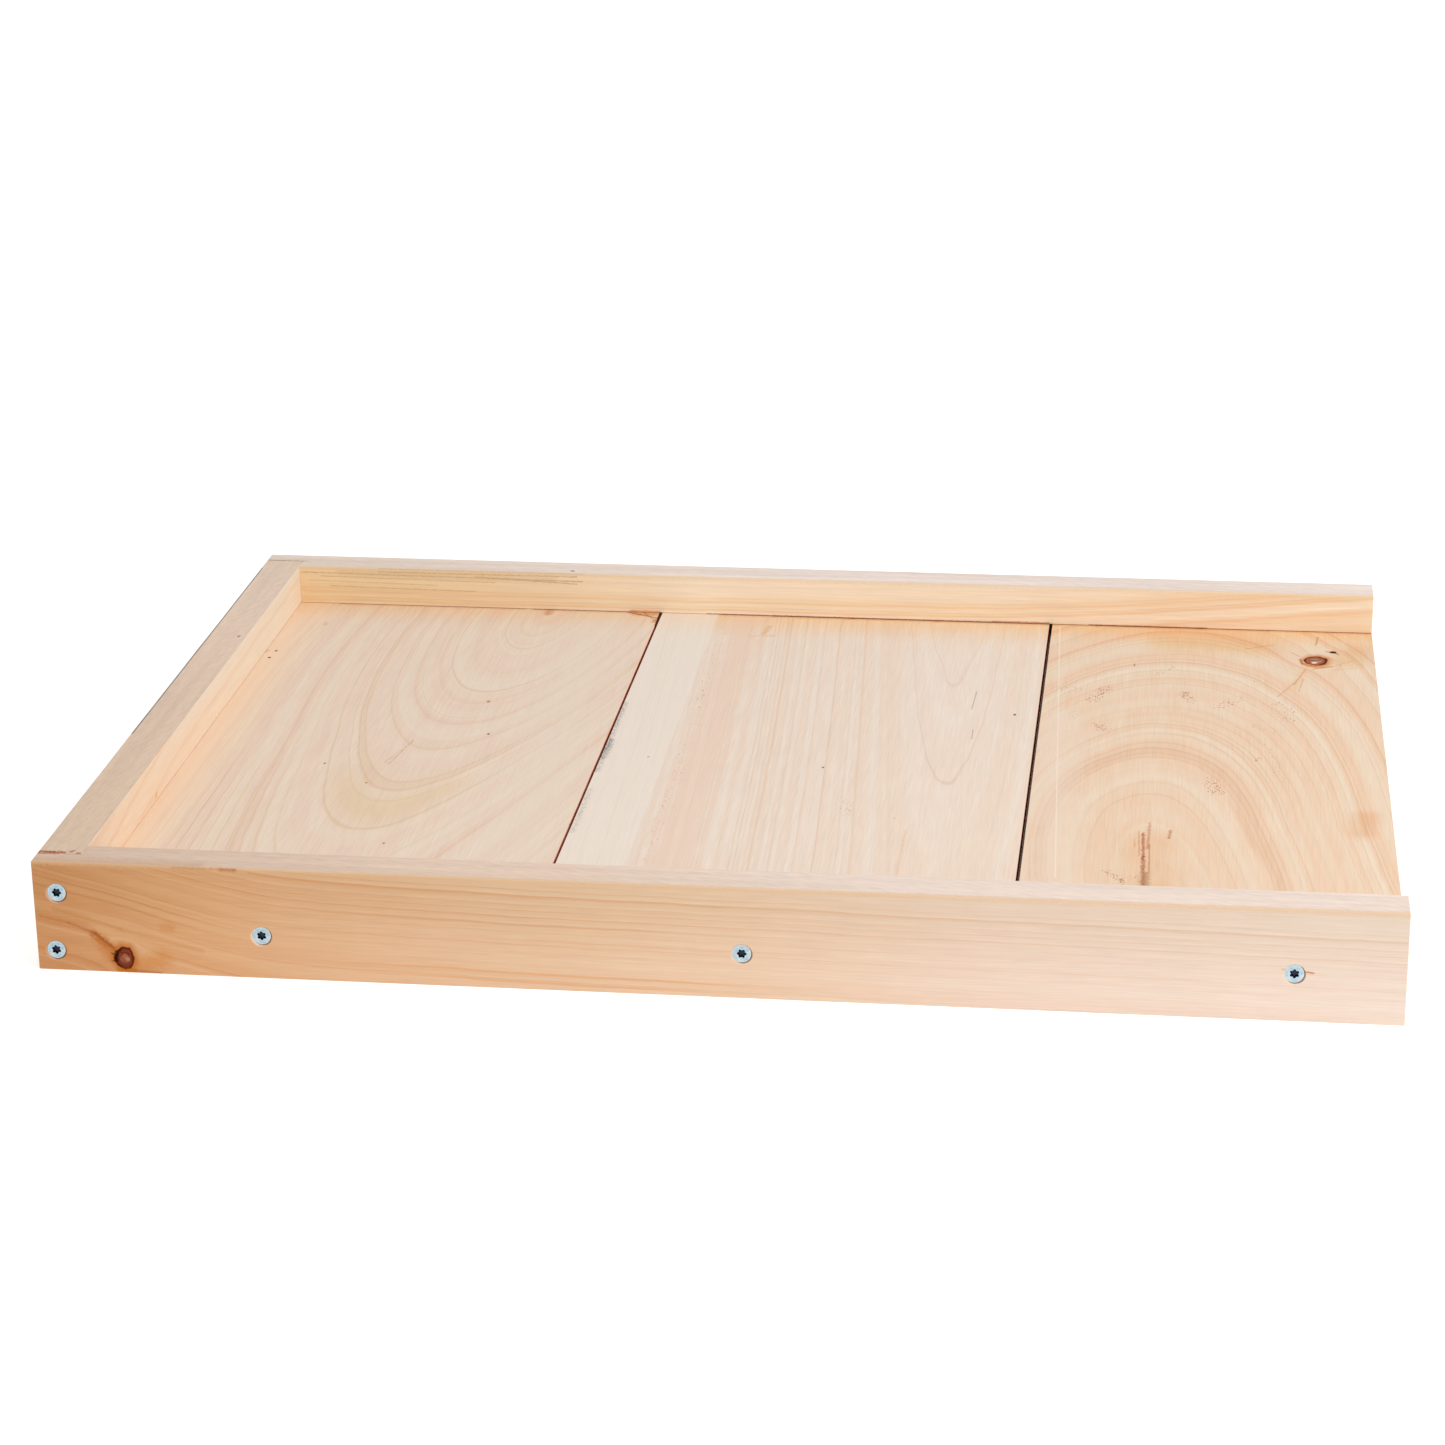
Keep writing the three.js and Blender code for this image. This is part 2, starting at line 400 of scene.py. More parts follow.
# %% Strokes and patches
# A stroke is solid out to the hard share of its radius, and from there it fades. Ragged is how far
# noise pushes its outline, as a share of the radius, and broken how much of it the fibres leave out
Stroke = namedtuple("Stroke", "start end radius colour strength hard ragged broken blend",
                    defaults=(0.0, 0.5, 0.0, "MIX"))
Patch = namedtuple("Patch", "start end radius amount", defaults=(1.0,))
Wood = namedtuple("Wood", "add bench fine coarse specks")

# Outlines are pushed by noise of so many waves to a mm, wide strokes by the coarse one
fine_push, coarse_push = 0.7, 0.09
coarse_from = 6.0
speck_edge = (0.42, 0.58)


# %% Painting them
def distance_to(wood, start, end, radius, ragged):
    """Distance in mm from a line in space, with its outline pushed about by noise."""
    add = wood.add
    push = wood.coarse if radius > coarse_from else wood.fine
    pushed = add("VectorMath MULTIPLY_ADD", push, (2 * ragged * radius,) * 3, wood.bench)
    away = add("VectorMath SUBTRACT", pushed, start)
    run = Vector(end) - Vector(start)
    if run.length > 0:
        dot = add("VectorMath DOT_PRODUCT", away, run / run.length_squared, output="Value")
        share = add("Math MAXIMUM", dot, 0.0)
        share = add("Math MINIMUM", share, 1.0)
        along = add("VectorMath SCALE", {0: run, "Scale": share})
        away = add("VectorMath SUBTRACT", away, along)
    return add("VectorMath LENGTH", away, output="Value")


def paint_stroke(wood, colour, stroke, start, end):
    """Lays one stroke over a colour."""
    add = wood.add
    far = distance_to(wood, start, end, stroke.radius, stroke.ragged)
    cover = add("MapRange", far, stroke.radius, stroke.radius * stroke.hard, 0.0, stroke.strength,
                **SOFT)
    if stroke.broken:
        kept = add("MapRange", wood.specks, *speck_edge, 1 - stroke.broken, **SOFT)
        cover = add("Math MULTIPLY", cover, kept)
    return add("Mix", cover, colour, linear(stroke.colour), **PAINT, blend_type=stroke.blend)


def paint_patches(wood, colour, patches, shade):
    """Strews specks of torn grain where the patches lie."""
    add = wood.add
    thick = 0.0
    for patch, start, end in patches:
        far = distance_to(wood, start, end, patch.radius, 0.6)
        here = add("MapRange", far, patch.radius, patch.radius * 0.3, 0.0, patch.amount, **SOFT)
        thick = add("Math MAXIMUM", here, thick)
    # The thicker the patches lie, the fainter a speck may be and still show
    least = add("Math MULTIPLY_ADD", thick, -0.33, 0.79)
    over = add("Math SUBTRACT", wood.specks, least)
    cover = add("MapRange", over, 0.0, 0.07, 0.0, 0.6, **SOFT)
    return add("Mix", cover, colour, linear(shade), **PAINT)


# %% [markdown]
# Knots
#
# A knot is the root of a branch that the trunk grew round. Its own rings are tight, dark and full
# of resin, often with a black rim of bark, and it goes right through the board. The fibres of the
# trunk flow round it as water flows round a post, and the formula for that is short: a line's
# distance to the middle shrinks by the square of the post's radius over the square of the
# distance. Bending the space before the rings are counted bends rings and fibres together.

# %% Flow round a knot
# At is the knot's middle on the face, radius its size in mm and flow how wide the fibres turn.
# A pull below 1 draws it out along that axis
Knot = namedtuple("Knot", "at radius flow heart body rim halo rings pull", defaults=((1, 1, 1),))


def flow_round(add, point, knot_at, flow, shift_axis, plane):
    """The point with the wood's flow round a knot taken out, so that straight grain bends there."""
    centre = add("VectorMath SUBTRACT", point, knot_at)
    flat = add("VectorMath MULTIPLY", centre, plane)
    square = add("VectorMath DOT_PRODUCT", flat, flat, output="Value")
    kept = add("Math MAXIMUM", square, flow ** 2)
    part = add("Math DIVIDE", -(flow ** 2), kept)
    aside = add("VectorMath MULTIPLY", flat, AXES[shift_axis])
    moved = add("VectorMath SCALE", {0: aside, "Scale": part})
    return add("VectorMath ADD", point, moved)


# %% The knot itself
def paint_knot(wood, colour, knot, knot_at, plane):
    """Lays a knot's halo, body, rings and bark rim over a colour."""
    add = wood.add
    wobble = shaking(add, wood.bench, 0.2)
    pushed = add("VectorMath MULTIPLY_ADD", wobble, (0.7 * knot.radius,) * 3, wood.bench)
    centre = add("VectorMath SUBTRACT", pushed, knot_at)
    pulled = [flat * pull / knot.radius for flat, pull in zip(plane, knot.pull)]
    flat = add("VectorMath MULTIPLY", centre, pulled)
    reach = add("VectorMath LENGTH", flat, output="Value")
    glow = add("MapRange", reach, 1.8, 0.95, 0.0, 0.8, **SOFT)
    colour = add("Mix", glow, colour, linear(knot.halo), **PAINT)
    middle = add("MapRange", reach, 0.05, 0.6, 0.0, 1.0, **SOFT)
    inner = add("Mix", middle, linear(knot.heart), linear(knot.body), **PAINT)
    turns = add("Math MULTIPLY", reach, knot.rings * math.tau)
    wave = add("Math SINE", turns)
    tone = add("MapRange", wave, -1.0, 1.0, 0.0, 0.3)
    edge = add("MapRange", reach, 0.68, 0.9, 0.0, 0.9, **SOFT)
    darker = add("Math ADD", tone, edge, use_clamp=True)
    body = add("Mix", darker, inner, linear(knot.rim), **PAINT)
    inside = add("MapRange", reach, 1.08, 0.96, 0.0, 1.0, **SOFT)
    return add("Mix", inside, colour, body, **PAINT)


# %% [markdown]
# Planed pine, put together
#
# Pine is a dielectric with an index of about 1.5, but a third of its face is open pores, so a
# planed face keeps only a faint, dull sheen, with latewood a shade glossier than earlywood. The
# relief is tiny: latewood stands a few hundredths of a millimetre proud, because the knife presses
# the soft earlywood down. Sawn ends look darker, since the fibres' open tubes point at the eye.

# %% The facts of a board
pine_index = 1.5
pine_sheen = 0.02
ring_relief = 0.025 * mm
fibre_relief = 0.04 * mm
torn_shade = "#a9582f"
end_shade = "#d3aa7f"
spring_shade = "#f6eadd"
saw_slant = math.radians(10)
saw_mark_size = (0.8, 7.0)

# A ring that stands out: its distance from the pith, half its width, and how far it shows
Band = namedtuple("Band", "radius half_width colour strength spot reach", defaults=(None, 0))

# Along and across are the board's axes, and surface turns two sizes on its best face into a place.
# Shift is the axis that knots push the grain aside on. Each of the stops is a place along the board
# with the ring's early, late and blush colours there, and each of top's has the narrow upper edge's
# colour. Joint is a colour for the edges that face the next board, and where it ends.
Board = namedtuple("Board", "along across depth surface shift pith rings stops bands paint "
                            "top joint", defaults=((), (), None, None))


def on_board(board, spot):
    """A spot as a bench vector. Two numbers lie on the board's best face."""
    return tuple(spot) if len(spot) == 3 else board.surface(*spot)


# %% The colours that growth gave
def shades_along(add, place, stops):
    """The colours at a place along a board, from the stops along it."""
    shades = [linear(shade) for shade in stops[0][1:]]
    for (start, *_), (end, *after) in zip(stops, stops[1:]):
        gone = add("MapRange", place, start, end)
        shades = [add("Mix", gone, first, linear(then), **PAINT)
                  for first, then in zip(shades, after)]
    return shades


def paint_band(add, colour, radius, bench, band, board):
    """Colours one ring, everywhere or only round a spot."""
    off = add("Math SUBTRACT", radius, band.radius)
    off = add("Math ABSOLUTE", off)
    cover = add("MapRange", off, band.half_width, 0.0, 0.0, band.strength, **SOFT)
    if band.spot:
        away = add("VectorMath DISTANCE", bench, on_board(board, band.spot), output="Value")
        near = add("MapRange", away, band.reach, band.reach * 0.3, **SOFT)
        cover = add("Math MULTIPLY", cover, near)
    return add("Mix", cover, colour, linear(band.colour), **PAINT)


def figure_colour(add, point, bench, board):
    """The colour that growth gave the wood, and how much of it is latewood."""
    parts = dict(zip("XYZ", add("SeparateXYZ", point, output=("X", "Y", "Z"))))
    along, across, depth = (parts[axis] for axis in (board.along, board.across, board.depth))
    radius = radius_from_pith(add, point, along, across, depth, board.pith, board.rings)
    late, pale, blush = ring_tones(add, radius, board.rings)
    early, autumn, pink = shades_along(add, along, board.stops)
    wide = streaks(add, point, board.along, band_size, 2.0)
    clouds = streaks(add, point, board.along, cloud_size, 3.0)
    uneven = add("Math ADD", wide, clouds)
    banded = add("MapRange", uneven, *two_noises, -0.3, 0.3, clamp=False)
    blushed = add("Math ADD", blush, banded, use_clamp=True)
    colour = add("Mix", blushed, early, pink, **PAINT)
    colour = add("Mix", pale, colour, linear(spring_shade), **PAINT)
    colour = add("Mix", late, colour, autumn, **PAINT)
    for band in board.bands:
        colour = paint_band(add, colour, radius, bench, band, board)
    return colour, late


# %% The colours of ripped edges, joints and sawn ends
def face_colour(add, colour, bench, board):
    """Changes a colour by the way its face looks, and tells how much of it is in a joint."""
    aside = 0.0
    normal = add("TexCoord", output="Normal")
    facing = dict(zip("XYZ", add("SeparateXYZ", normal, output=("X", "Y", "Z"))))
    if board.top:
        # The narrow edges were ripped and only skimmed, so slanted saw marks are left on them
        turned = add("VectorRotate", {"Vector": bench, "Angle": saw_slant}, rotation_type="Z_AXIS")
        fine = streaks(add, turned, board.along, saw_mark_size, 3.0)
        broad = streaks(add, bench, board.along, band_size, 3.0)
        marks = add("Math ADD", fine, broad)
        marks = add("MapRange", marks, *two_noises, 0.86, 1.1, clamp=False)
        # On the side rails the top stops grow paler towards the front end, which is partly painted light
        place = add("SeparateXYZ", bench, output=board.along)
        ripped, = shades_along(add, place, board.top)
        ripped = add("HueSaturation", {"Color": ripped, "Value": marks}, output="Color")
        up = add("MapRange", facing["Z"], 0.75, 0.97, 0.0, 0.85)
        colour = add("Mix", up, colour, ripped, **PAINT)
    if board.joint:
        shade, ends_at = board.joint
        place = add("SeparateXYZ", bench, output="X")
        before = add("MapRange", place, ends_at, ends_at - 1)
        aside = add("Math ABSOLUTE", facing[board.across])
        aside = add("MapRange", aside, 0.3, 0.7, 0.0, before)
        colour = add("Mix", aside, colour, linear(shade), **PAINT, blend_type="MULTIPLY")
    sawn = add("Math ABSOLUTE", facing[board.along])
    sawn = add("MapRange", sawn, 0.8, 0.95, 0.0, 0.6)
    colour = add("Mix", sawn, colour, linear(end_shade), **PAINT, blend_type="MULTIPLY")
    return colour, aside


# %% The whole finish
def planed_pine(name, board):
    """The material of one board, from the facts of that board."""
    made, add = blank(name, bpy.data.materials)
    bench = bench_place(add)
    point = bench
    plane = [1 - part for part in AXES[board.depth if board.shift != board.depth else board.across]]
    knots = [item for item in board.paint if isinstance(item, Knot)]
    for knot in knots:
        point = flow_round(add, point, on_board(board, knot.at), knot.flow, board.shift, plane)
    colour, late = figure_colour(add, point, bench, board)

    # Fibre bundles and threads lighten and darken everything a little
    bundles = streaks(add, point, board.along, bundle_size, 3.0)
    threads = streaks(add, point, board.along, thread_size, 2.0)
    woven = add("Math ADD", bundles, threads)
    grain = add("MapRange", woven, *two_noises, 0.95, 1.044, clamp=False)
    colour = add("HueSaturation", {"Color": colour, "Value": grain}, output="Color")
    colour, in_joint = face_colour(add, colour, bench, board)

    fine = shaking(add, bench, fine_push)
    coarse = shaking(add, bench, coarse_push)
    specks = streaks(add, point, board.along, speck_size, 2.0)
    wood = Wood(add, bench, fine, coarse, specks)
    patches = []
    for item in board.paint:
        if isinstance(item, Knot):
            colour = paint_knot(wood, colour, item, on_board(board, item.at), plane)
            continue
        start, end = on_board(board, item.start), on_board(board, item.end)
        if isinstance(item, Patch):
            patches.append((item, start, end))
        else:
            colour = paint_stroke(wood, colour, item, start, end)
    if patches:
        colour = paint_patches(wood, colour, patches, torn_shade)

    # Sheen and relief
    dull = add("MapRange", late, 0.0, 1.0, 0.62, 0.5)
    dull = add("Math ADD", dull, in_joint, use_clamp=True)
    bump = add("Bump", {"Height": late, "Distance": ring_relief, "Strength": 1.0})
    bump = add("Bump", {"Height": bundles, "Distance": fibre_relief, "Strength": 1.0, "Normal": bump})
    surface = add("BsdfPrincipled", {
        "Base Color": colour, "Roughness": dull, "IOR": pine_index,
        "Specular IOR Level": pine_sheen, "Normal": bump,
    })
    add("OutputMaterial", {"Surface": surface}, output=())
    print(f"{name}: {len(made.node_tree.nodes)} nodes, rings {board.rings.width} mm, "
          f"{len(knots)} knots, {len(board.paint) - len(knots)} marks")
    return made


# %% [markdown]
# The floor boards' figure
#
# All three floor boards are flat-sawn, with the grain running from rail to rail. In the rear board
# the pith comes closer towards the left rail, so its arches open that way. The front board's comes
# closer towards the right rail, where the pith itself shows as a brown streak. The middle board was
# cut almost true, so it has fine straight lines, one long arch, and a pale strip of sapwood along
# its rear edge.

# %% Places and kinds of marks on the floor
floor_top = 29.0
joint_shade, deep_joint_shade = "#cc5a1e", "#9c4519"
not_dark_from = board_length - 10
far_edge = 393.7


def floor_spot(x, y):
    """A place on top of the floor."""
    return (x, y, floor_top)


# What the three floor boards have in common
flat_sawn = dict(along="Y", across="X", depth="Z", surface=floor_spot, shift="X")


def wash(start, end, radius, colour, strength=1.0):
    """A wide, even tint that lets the figure show through."""
    return Stroke(start, end, radius, colour, strength, ragged=0.15, blend="MULTIPLY")


def speck(x, y, radius, colour, length=0.6, **more):
    """A small dark mark that runs a little along the grain of a floor board."""
    return Stroke((x, y), (x, y + length), radius, colour, 0.9, hard=0.4, **more)


def several(kind, rows, **shared):
    """Marks or bands of one kind, one for each row, which share the rest of their facts."""
    return [kind(*row, **shared) for row in rows]


def painted_seam_shade(*lines):
    """Painted shade where the floor runs into the left rail's groove: a tan tint with a dark thread in it,
    for each run.
    """
    return [Stroke((start, at), (end, at), radius, shade, strength * part)
            for start, end, colour, strength in lines
            for at, radius, shade, part in ((far_edge - 1, 2.6, "#dda063", 0.6),
                                            (far_edge, 0.85, colour, 1.0))]


# %% Rear floor board
pine = {}
rear_board_marks = [
    # Broad tints, then specks and short flecks, then the corner beside the first joint, with painted shade
    # at the joint's far end
    Stroke((189, 40), (176, 395), 34.0, "#f0e1d3", 0.5),
    Stroke((19, 40), (19, 400), 28.0, "#ffe2c4", 0.5, ragged=0.1),
    wash((20, far_edge), (206, far_edge), 34.0, "#fff6e8"), speck(24, 319, 0.95, "#160d08", 0.5),
    speck(23, 309, 1.0, "#160d08", 0.5), Stroke((19, 316), (20, 320), 1.6, "#d9a877", 0.5),
    speck(142, 257, 1.3, "#cf8a38"), speck(150, 214, 0.8, "#4c3a30"), speck(83, 170, 0.8, "#806558"),
    speck(107, 148, 0.9, "#b98a5c"), speck(130, 79, 0.8, "#8b6b55"), speck(206, 108, 0.7, "#b09070"),
    Stroke((39, 360), (39, 364), 1.8, "#dcb08a", 0.5),
    Stroke((112, 172), (117, 203), 0.9, "#c39a78", 0.55, broken=0.6),
    Stroke((110, 174), (114, 190), 0.7, "#c9a184", 0.5, broken=0.6),
    Stroke((208, 396), (194, 393), 8.0, "#e09a5a", 0.75, 0.3),
    Stroke((207, 390), (204, 380), 4.0, "#dc9152", 0.7, 0.2),
    Stroke((188, 393.2), (206, 384.5), 0.8, "#8a4a26", 0.8, 0.3),
    Stroke((196, 393.5), (206, 377), 0.6, "#a8602f", 0.7),
    Stroke((205.1, 373.5), (204.7, 394), 1.0, "#1c0b06", 0.95, 0.7, ragged=0.2),
    Stroke((148, 394), (148, 387), 3.6, "#c98a58", 0.7, 0.2, broken=0.4),
    *painted_seam_shade((40, 135, "#a5652a", 0.4), (140, 192, "#8a4a1c", 0.6)),
]
rear_board = Board(
    **flat_sawn,
    pith=Pith(200, 60, (128.7, 0.125, -0.017), (floor_top + 55.3, -0.2215, -0.0911)),
    rings=Rings(width=4.1, uneven=0.3, wander=0.8, faintest=0.0, swell=0.35, pale=0.3, seed=3,
                calm=(50, 95, 0.4)),
    stops=((0, "#f3e2d0", "#e7c5a3", "#f1d9c8"),),
    bands=several(Band, [
        (66.2, 0.6, "#d9ae82", 0.38), (64.6, 0.35, "#dcb48a", 0.3), (68.4, 0.35, "#dfb98e", 0.28),
        (73.1, 0.45, "#dcba8c", 0.4), (69.6, 5.0, "#ebd0a8", 0.5, (118, 128), 62),
        (36.8, 0.5, "#dcb286", 0.36), (18.0, 0.4, "#deb68c", 0.34), (47.0, 0.4, "#e0bc98", 0.24),
        (57.0, 0.35, "#dfba96", 0.24), (81.0, 0.5, "#e2bc98", 0.24), (103.0, 0.5, "#e0b88e", 0.2),
    ]) + [Band(radius, 0.5, "#dfb487", 0.3, (48, 105), 95)
          for radius in (84.4, 87.2, 90.1, 93.3, 96.6, 99.4, 103.0, 105.9)],
    joint=(joint_shade, not_dark_from),
    paint=rear_board_marks,
)
pine["floor_board_rear"] = planed_pine("pine_planed_rear_board", rear_board)

# %% Middle floor board
middle_board_marks = [
    # Broad tints with the sapwood strip, then specks, flecks and the grey rubbed rear edge
    wash((206, far_edge), (402, far_edge), 40.0, "#fff1d8"),
    Stroke((194.5, 396), (197.5, 40), 40.0, "#f5ede4", 0.6, 0.97, ragged=0.015),
    Stroke((250, 394), (255, 40), 15.0, "#f2d3be", 0.5, 0.2), speck(308, 186, 0.8, "#6a5244"),
    speck(390, 262, 0.8, "#4a3a30", 1.0), speck(228, 192, 0.8, "#c9c2b8"), speck(345, 128, 0.9, "#dcd2c4"),
    Stroke((351, 66), (351, 115), 1.1, "#ecc49e", 0.6, broken=0.4),
    Stroke((260, 366), (262, 378), 2.6, "#e8b07e", 0.6, broken=0.3),
    Stroke((254, 362), (266, 364), 1.6, "#e6b488", 0.5, broken=0.3),
    Stroke((369.6, 268), (370.4, 292), 0.45, "#b08a74", 0.7),
    Stroke((372, 229), (372, 241), 0.45, "#b08a74", 0.7),
    Stroke((207.4, 172), (206.8, 262), 2.2, "#8d9193", 0.62, broken=0.8),
    Stroke((207.4, 190), (207.4, 212), 3.2, "#70767d", 0.75, broken=0.65),
    Stroke((208.4, 100), (208.0, 150), 2.4, "#a3a49f", 0.5, broken=0.85),
    Patch((240, 380), (244, 70), 5.0, 0.42), Patch((241, 300), (241, 270), 3.0, 0.55),
    Patch((243, 170), (244, 90), 4.0, 0.5), Patch((322, 150), (324, 130), 5.0, 0.5),
    Patch((300, 330), (312, 320), 6.0, 0.35),
    *painted_seam_shade((236, 262, "#a5652a", 0.5), (262, 302, "#8a3408", 0.78), (300, 345, "#9a4a18", 0.8),
          (343, 400, "#8a3408", 0.78)),
    # Painted shade along the front arris, which widens the second joint's dark line
    Stroke((401.3, 60), (400.6, 394), 0.6, "#8a3410", 0.9, 0.2, ragged=0.3),
]
middle_board = Board(
    **flat_sawn,
    pith=Pith(200, 60, (363.1, -0.0309, -0.0122), (floor_top + 60.05, -0.0239, 0.0031)),
    rings=Rings(width=1.6, uneven=0.3, wander=0.4, faintest=0.0, swell=0.3, pale=0.3, seed=11,
                calm=(64, 80, 0.1)),
    stops=((0, "#f4e6da", "#ebd0bb", "#f3dfd0"),),
    bands=several(Band, [
        (60.7, 0.1, "#dbb59c", 0.34), (57.7, 0.08, "#dcbaa4", 0.24), (66.0, 0.8, "#ecd2bd", 0.35),
        (72.5, 0.6, "#e6c6a8", 0.4),
    ]),
    joint=(deep_joint_shade, not_dark_from),
    paint=middle_board_marks,
)
pine["floor_board_middle"] = planed_pine("pine_planed_middle_board", middle_board)

# %% Front floor board
front_board_marks = [
    # Broad tints, then the two knots with their cracks
    Stroke((414, 60), (410, 260), 20.0, "#f3e1d3", 0.5), wash((456, 50), (455, 112), 26.0, "#fcf1e6"),
    wash((400, far_edge), (562, far_edge), 30.0, "#fff0d8"),
    wash((462, 372), (500, 368), 22.0, "#fbeacf", 0.9), wash((545, 130), (547, 150), 11.0, "#f8e6d6", 0.9),
    wash((546, 352), (550, 366), 16.0, "#f9e9d4"),
    Knot((530.6, 350.4), 5.4, 8.0, "#cfa48c", "#b0705a", "#6b2a14", "#d98336", 2.2, (1, 0.84, 1)),
    Stroke((524.4, 345.8), (530.6, 341.6), 1.0, "#bf6a2e", 0.8, 0.2),
    Stroke((529, 338.6), (538, 343.2), 0.9, "#c77a3e", 0.7, 0.2),
    Stroke((523.2, 352), (524, 345), 0.9, "#b3602a", 0.75, 0.2),
    Stroke((526.4, 343.4), (533.0, 342.6), 3.4, "#dc9450", 0.6),
    Stroke((528.4, 350.8), (532.4, 351.8), 0.8, "#54281a", 0.7, 0.2),
    # A painted highlight on the knot
    Stroke((529.4, 347.6), (530.2, 347.8), 1.3, "#fff3e6", 0.95, 0.5),
    Stroke((534.9, 352.5), (535.2, 348.5), 1.0, "#3a170c", 0.75),
    Knot((539.1, 363.9), 1.4, 2.5, "#4d2517", "#4a2418", "#301409", "#d99c66", 1.0),
    Stroke((535.6, 364.4), (538.4, 364.2), 0.6, "#5a2d1a", 0.8, 0.2),
    Stroke((540.2, 362.6), (541.6, 360.6), 0.6, "#6b3820", 0.8, 0.2),
    # The pith streak, the long scratch, the folds beside the knot, and torn grain
    Stroke((452.4, 122), (452.9, 92), 1.1, "#b55f3c", 0.85, 0.2, ragged=0.8, broken=0.3),
    Stroke((452.9, 96), (453.6, 62), 1.4, "#ae5f3e", 0.8, 0.2, ragged=0.7, broken=0.3),
    Stroke((455.0, 134), (454.4, 104), 1.1, "#c48062", 0.75, ragged=0.8, broken=0.3),
    Stroke((455.2, 110), (455.6, 78), 0.6, "#b86f4a", 0.75, ragged=0.8, broken=0.3),
    Stroke((450.4, 124), (451.2, 96), 0.6, "#c8855f", 0.7, ragged=0.8, broken=0.4),
    Stroke((448.6, 114), (449.2, 106), 0.6, "#cd9573", 0.6, ragged=0.8, broken=0.4),
    Stroke((454.0, 62), (453.8, 77), 3.4, "#b68a68", 0.75, 0.2, broken=0.25),
    Stroke((463.4, 117), (463.9, 126), 1.2, "#c27c58", 0.8, 0.1, broken=0.3),
    Stroke((405.6, 390.8), (417, 69.3), 0.45, "#fbf0e4", 0.75, ragged=0.2),
    Stroke((525.4, 337), (518.0, 308), 4.5, "#edc29c", 0.45),
    Stroke((525.4, 338), (519.5, 316), 0.7, "#cf8648", 0.7, ragged=0.9, broken=0.35),
    *several(Stroke, ragged=0.9, broken=0.4, rows=[
        ((519.5, 318), (511.5, 298), 0.8, "#d08f58", 0.55), ((524, 324), (521.5, 306), 0.6, "#d39461", 0.6),
    ]),
    Stroke((497, 365), (511, 372.5), 0.5, "#a5714f", 0.7, broken=0.4),
    Stroke((531, 374), (532.4, 386), 0.7, "#c07c4a", 0.8, broken=0.3),
    Stroke((536, 341), (548, 352), 0.5, "#c9965f", 0.6, broken=0.3),
    Stroke((538, 338), (550, 342), 0.5, "#cf9c6a", 0.6, broken=0.3),
    Stroke((519, 362), (523, 356), 0.5, "#b98560", 0.6),
    Stroke((443.6, 335), (443.8, 338.5), 0.6, "#8c6a50", 0.8),
    Stroke((498, 370), (478, 388), 0.5, "#c79260", 0.6, broken=0.4),
    Patch((410, 301), (418, 300), 7.0, 0.6), Patch((426, 286), (430, 302), 6.5, 0.75),
    Patch((416, 268), (418, 262), 4.0, 0.6), Patch((428, 254), (432, 246), 5.0, 0.75),
    Patch((468, 299), (471, 289), 5.5, 0.8), Patch((484, 282), (494, 294), 8.0, 0.62),
    Patch((456, 326), (461, 336), 6.0, 0.62), Patch((500, 258), (509, 252), 6.0, 0.6),
    Patch((512, 292), (518, 268), 8.0, 0.6), Patch((438, 78), (446, 66), 3.5, 0.8),
    Patch((505, 240), (512, 190), 4.0, 0.5), Patch((480, 188), (484, 172), 6.0, 0.8),
    Patch((501, 217), (502, 213), 3.0, 0.8), Patch((503, 318), (509, 306), 6.0, 0.5),
    Patch((447, 74), (452, 70), 4.0, 0.6),
    *painted_seam_shade((402, 424, "#a5602a", 0.6), (424, 476, "#8a3408", 0.78), (474, 508, "#9a4a18", 0.8),
          (508, 559, "#a5602a", 0.7)),
]
front_board = Board(
    **flat_sawn,
    pith=Pith(150, 40, (454.6, -0.0157, 0.0884), (floor_top + 26.3, 0.2791, 0.0963)),
    rings=Rings(width=4.6, uneven=0.35, wander=1.4, faintest=0.0, swell=0.3, pale=0.3, seed=29,
                calm=(45, 90, 0.3)),
    stops=((0, "#f1ddc7", "#e4b793", "#f1d2b8"),),
    bands=several(Band, [
        (51.9, 0.55, "#d8a182", 0.48), (49.6, 0.4, "#d9a88a", 0.4), (47.6, 0.4, "#dbab8e", 0.34),
        (54.4, 0.5, "#ddb090", 0.34), (50.6, 4.4, "#e7bc9b", 0.5), (31.8, 0.5, "#e0b898", 0.3),
        (46.0, 2.6, "#e5b896", 0.45, (495, 130), 45), (96.8, 0.5, "#deb088", 0.28),
        (99.5, 0.4, "#e1b790", 0.22), (91.0, 0.4, "#e3bb98", 0.26),
        (76.0, 1.2, "#e6b898", 0.32, (536, 230), 90), (84.0, 0.5, "#e2b492", 0.3),
        (107.0, 0.5, "#deb088", 0.28), (112.0, 0.4, "#deae86", 0.26), (120.0, 0.5, "#ddac82", 0.28),
        (128.0, 0.5, "#ddac82", 0.24),
    ]) + [Band(radius, 0.45, "#dca984", 0.32, (535, 225), 120)
          for radius in (58.6, 61.5, 64.9, 68.2, 71.3, 79.7, 87.4)],
    joint=(deep_joint_shade, not_dark_from),
    paint=front_board_marks,
)
pine["floor_board_front"] = planed_pine("pine_planed_front_board", front_board)

# %% [markdown]
# The rails' figure
#
# The rails are cut with the grain along them. Their faces show long, almost straight lines, because
# the pith runs beside them. In the right rail it dives away from the rear corner, which slants the
# lines there, and a branch came out just above its lower arris. Around each screw the wood is pale
# on one side, where the head pressed it in and painted light lies on it, and painted shade lies on the
# other.

# %% Places on the rails, and bruises round the screws
rail_top = rail_height
rear_inner_face = 19.05


def right_face_spot(x, z):
    """A place on the right rail's outer face."""
    return (x, 0.0, z)


def left_inner_spot(x, z):
    """A place on the left rail's inner face."""
    return (x, far_edge, z)


def rear_inner_spot(y, z):
    """A place on the rear rail's inner face."""
    return (rear_inner_face, y, z)
